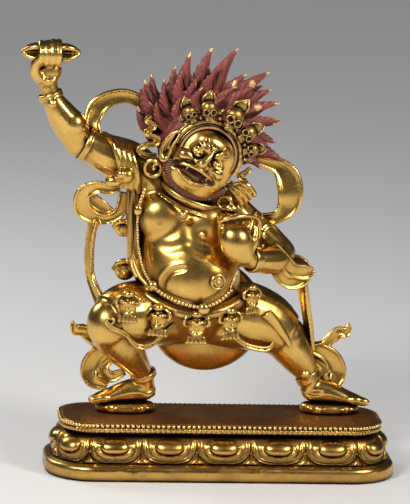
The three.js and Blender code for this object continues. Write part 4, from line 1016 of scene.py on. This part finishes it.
def makeTorque():
    tilt = Matrix.Translation((-13.6, 3.2, 107.2)) @ Matrix.Rotation(math.radians(20), 4, "Y") @ Matrix.Rotation(math.radians(16), 4, "X")
    parts = []
    for radius, thick, z, tall in ((13.6, 1.0, 1.2, 1.5), (15.2, 0.7, -0.6, 0.7), (16.3, 0.5, -1.7, 0.5)):
        ring = hoop((0, 0, z), (0, 0, 1), radius, thick, 72, 14)
        parts.append(moved(ring, Matrix.Diagonal((1, 0.88, tall, 1))))
    parts = [moved(part, tilt) for part in parts]
    disc = [ball((-18.4, -12.4, 102.2), (2.3, 1, 2.3)), hoop((-18.4, -13, 102.2), (0, -1, 0.1), 1.9, 0.35, 24, 8), bead((-18.4, -13.4, 102.2), 0.7)]
    return finishPiece(fuse([parts, disc], 0.36, 1), "torque", giltBronze)


def bangle(at, direction, radius, rows=2, thick=0.7, gap=1.3, flower=None):
    way = Vector(direction).normalized()
    parts = []
    for row in range(rows):
        place = Vector(at) + way * gap * (row - (rows - 1) / 2)
        parts.append(hoop(place, direction, radius, thick, 36, 10))
    if flower:
        parts += [ball(flower, (1.9, 1.3, 2)), ball(Vector(flower) + Vector((0, -0.9, 0)), (0.8, 0.7, 0.8))]
    return parts


def makeBangles():
    parts = [bangle((-69.2, 0.3, 145), (-0.35, 0, 0.92), 4.3, flower=(-68.6, -4.4, 142.6)),
             bangle((-54.6, 4.3, 125.9), (-0.9, 0, 0.42), 6.5),
             bangle((9.2, -12.2, 85.4), (-0.8, -0.55, 0.1), 4.7, 3, 0.6, 1.1),
             bangle((13.4, 5, 92.2), (0.66, -0.25, -0.7), 6.9, flower=(13.4, -3.4, 93)),
             bangle((-29.8, 4, 36), (0.3, 0.2, -0.9), 4.5, flower=(-33.6, -0.6, 37.4)),
             bangle((35, 7, 35.2), (0.5, 0, -0.85), 4.6, 3, 0.6, 1.1, flower=(33.2, 2, 37.2))]
    return finishPiece(fuse(parts, 0.36, 1), "bangles", giltBronze)


def makeEarrings():
    parts = [hoop((-29.6, -4.6, 118.6), (0.1, 1, 0.1), 3.2, 0.85, 36, 12), ball((-28.2, -5, 121), (1.5, 1.4, 1.5)), ball((-29.4, -5.4, 119), (0.9, 0.9, 1.3)),
             hoop((-1.8, -5.4, 105.8), (0.2, 1, 0), 2.6, 0.8, 32, 12), ball((0.8, -6.6, 103.4), (2.6, 1, 2), turn=(0, 25, 0)), bead((0.8, -7.6, 103.4), 0.8)]
    return finishPiece(fuse(parts, 0.28, 1), "earrings", giltBronze)


def makeNavel():
    parts = [hoop((-4.2, -15.6, 77), (0.3, -1, 0), 2.7, 0.55, 36, 10), hoop((-4.1, -16.1, 77), (0.3, -1, 0), 1.5, 0.42, 28, 10), bead((-4, -16.6, 77), 0.85, 3)]
    return finishPiece(fuse(parts, 0.22, 1), "navelRosette", giltBronze)


def makeFootPads():
    pads = []
    for x, y in ((-36.5, 4), (43.5, 6)):
        pad = sweep([[x, y, 21.75, 11.1, 6.2], [x, y, 22.2, 11.5, 6.6], [x, y, 23.4, 11.6, 6.7], [x, y, 24.6, 11.2, 6.3], [x, y, 25.2, 10.4, 5.6]], facing=(0, 1, 0), sides=48, steps=2)
        pads.append(pad)
        for lump in range(5):
            pads.append(ball((x - 7 + lump * 3.6, y - 4 - (lump % 2), 23.8), (2.4, 1.8, 1)))
    return finishPiece(fuse(pads, 0.5, 3), "footPads", giltBronze)


makeStrands()
makeTorque()
makeBangles()
makeEarrings()
makeNavel()
makeFootPads()

# ---- stage, light and camera

camera = {"yaw": -6.2, "elevation": 11.2, "roll": 2.15, "distance": 1500, "target": (0, 0, 80), "across": -7.8, "upward": 5.5,
          "tall": 193.8}


def makeCamera():
    yaw, rise, roll = (math.radians(camera[key]) for key in ("yaw", "elevation", "roll"))
    back = Vector((math.sin(yaw) * math.cos(rise), -math.cos(yaw) * math.cos(rise), math.sin(rise)))
    right = Vector((math.cos(yaw), math.sin(yaw), 0))
    top = back.cross(right)
    across = right * math.cos(roll) + top * math.sin(roll)
    above = top * math.cos(roll) - right * math.sin(roll)
    eye = Vector(camera["target"]) + across * camera["across"] + above * camera["upward"] + back * camera["distance"]
    data = bpy.data.cameras.new("photoCamera")
    data.lens = 36 * camera["distance"] / camera["tall"]
    data.clip_start, data.clip_end = 0.05, 20
    obj = bpy.data.objects.new("photoCamera", data)
    bpy.context.scene.collection.objects.link(obj)
    obj.matrix_world = Matrix([[v[i] for v in (across, above, back)] + [eye[i] * millimetre] for i in range(3)] + [[0, 0, 0, 1]])
    bpy.context.scene.camera = obj


lamps = {
    "keyLeft": {"at": (-330, -430, 470), "size": (150, 150), "watts": 4.5, "colour": (1, 0.97, 0.92)},
    "keyRight": {"at": (400, -380, 430), "size": (150, 150), "watts": 3.5, "colour": (1, 0.96, 0.9)},
    "backLeft": {"at": (-420, 380, 420), "size": (200, 200), "watts": 2, "colour": (0.95, 0.97, 1)},
}


def makeLamp(name, at, size, watts, colour):
    data = bpy.data.lights.new(name, "AREA")
    data.shape = "RECTANGLE"
    data.size, data.size_y = size[0] * millimetre, size[1] * millimetre
    data.energy = watts
    data.color = colour
    obj = bpy.data.objects.new(name, data)
    bpy.context.scene.collection.objects.link(obj)
    obj.location = Vector(at) * millimetre
    obj.rotation_euler = (Vector((0, 0, 0.085)) - obj.location).to_track_quat("-Z", "Y").to_euler()


def makeStage():
    bpy.ops.object.select_all(action="DESELECT")
    bpy.ops.mesh.primitive_plane_add(size=12)
    floor = current()
    floor.name = "floor"
    material = bpy.data.materials.new("paleFloor")
    material.use_nodes = True
    shader = material.node_tree.nodes["Principled BSDF"]
    shader.inputs["Base Color"].default_value = (0.72, 0.72, 0.72, 1)
    shader.inputs["Roughness"].default_value = 0.8
    floor.data.materials.append(material)
    world = bpy.data.worlds.new("studio")
    world.use_nodes = True
    tree = world.node_tree
    dark = add(tree, "Background", Color=(0.05, 0.05, 0.056, 1), Strength=1.0)
    pale = add(tree, "Background", Color=(0.55, 0.55, 0.56, 1), Strength=1.0)
    glossy = add(tree, "LightPath").outputs["Is Glossy Ray"]
    both = add(tree, "MixShader", i0=glossy, i1=pale.outputs[0], i2=dark.outputs[0])
    tree.links.new(both.outputs[0], tree.nodes["World Output"].inputs["Surface"])
    bpy.context.scene.world = world
    for name, lamp in lamps.items():
        makeLamp(name, **lamp)


makeStage()
makeCamera()
view = bpy.context.scene.view_settings
view.view_transform = "Standard"
view.look = "None"
view.exposure = -0.65
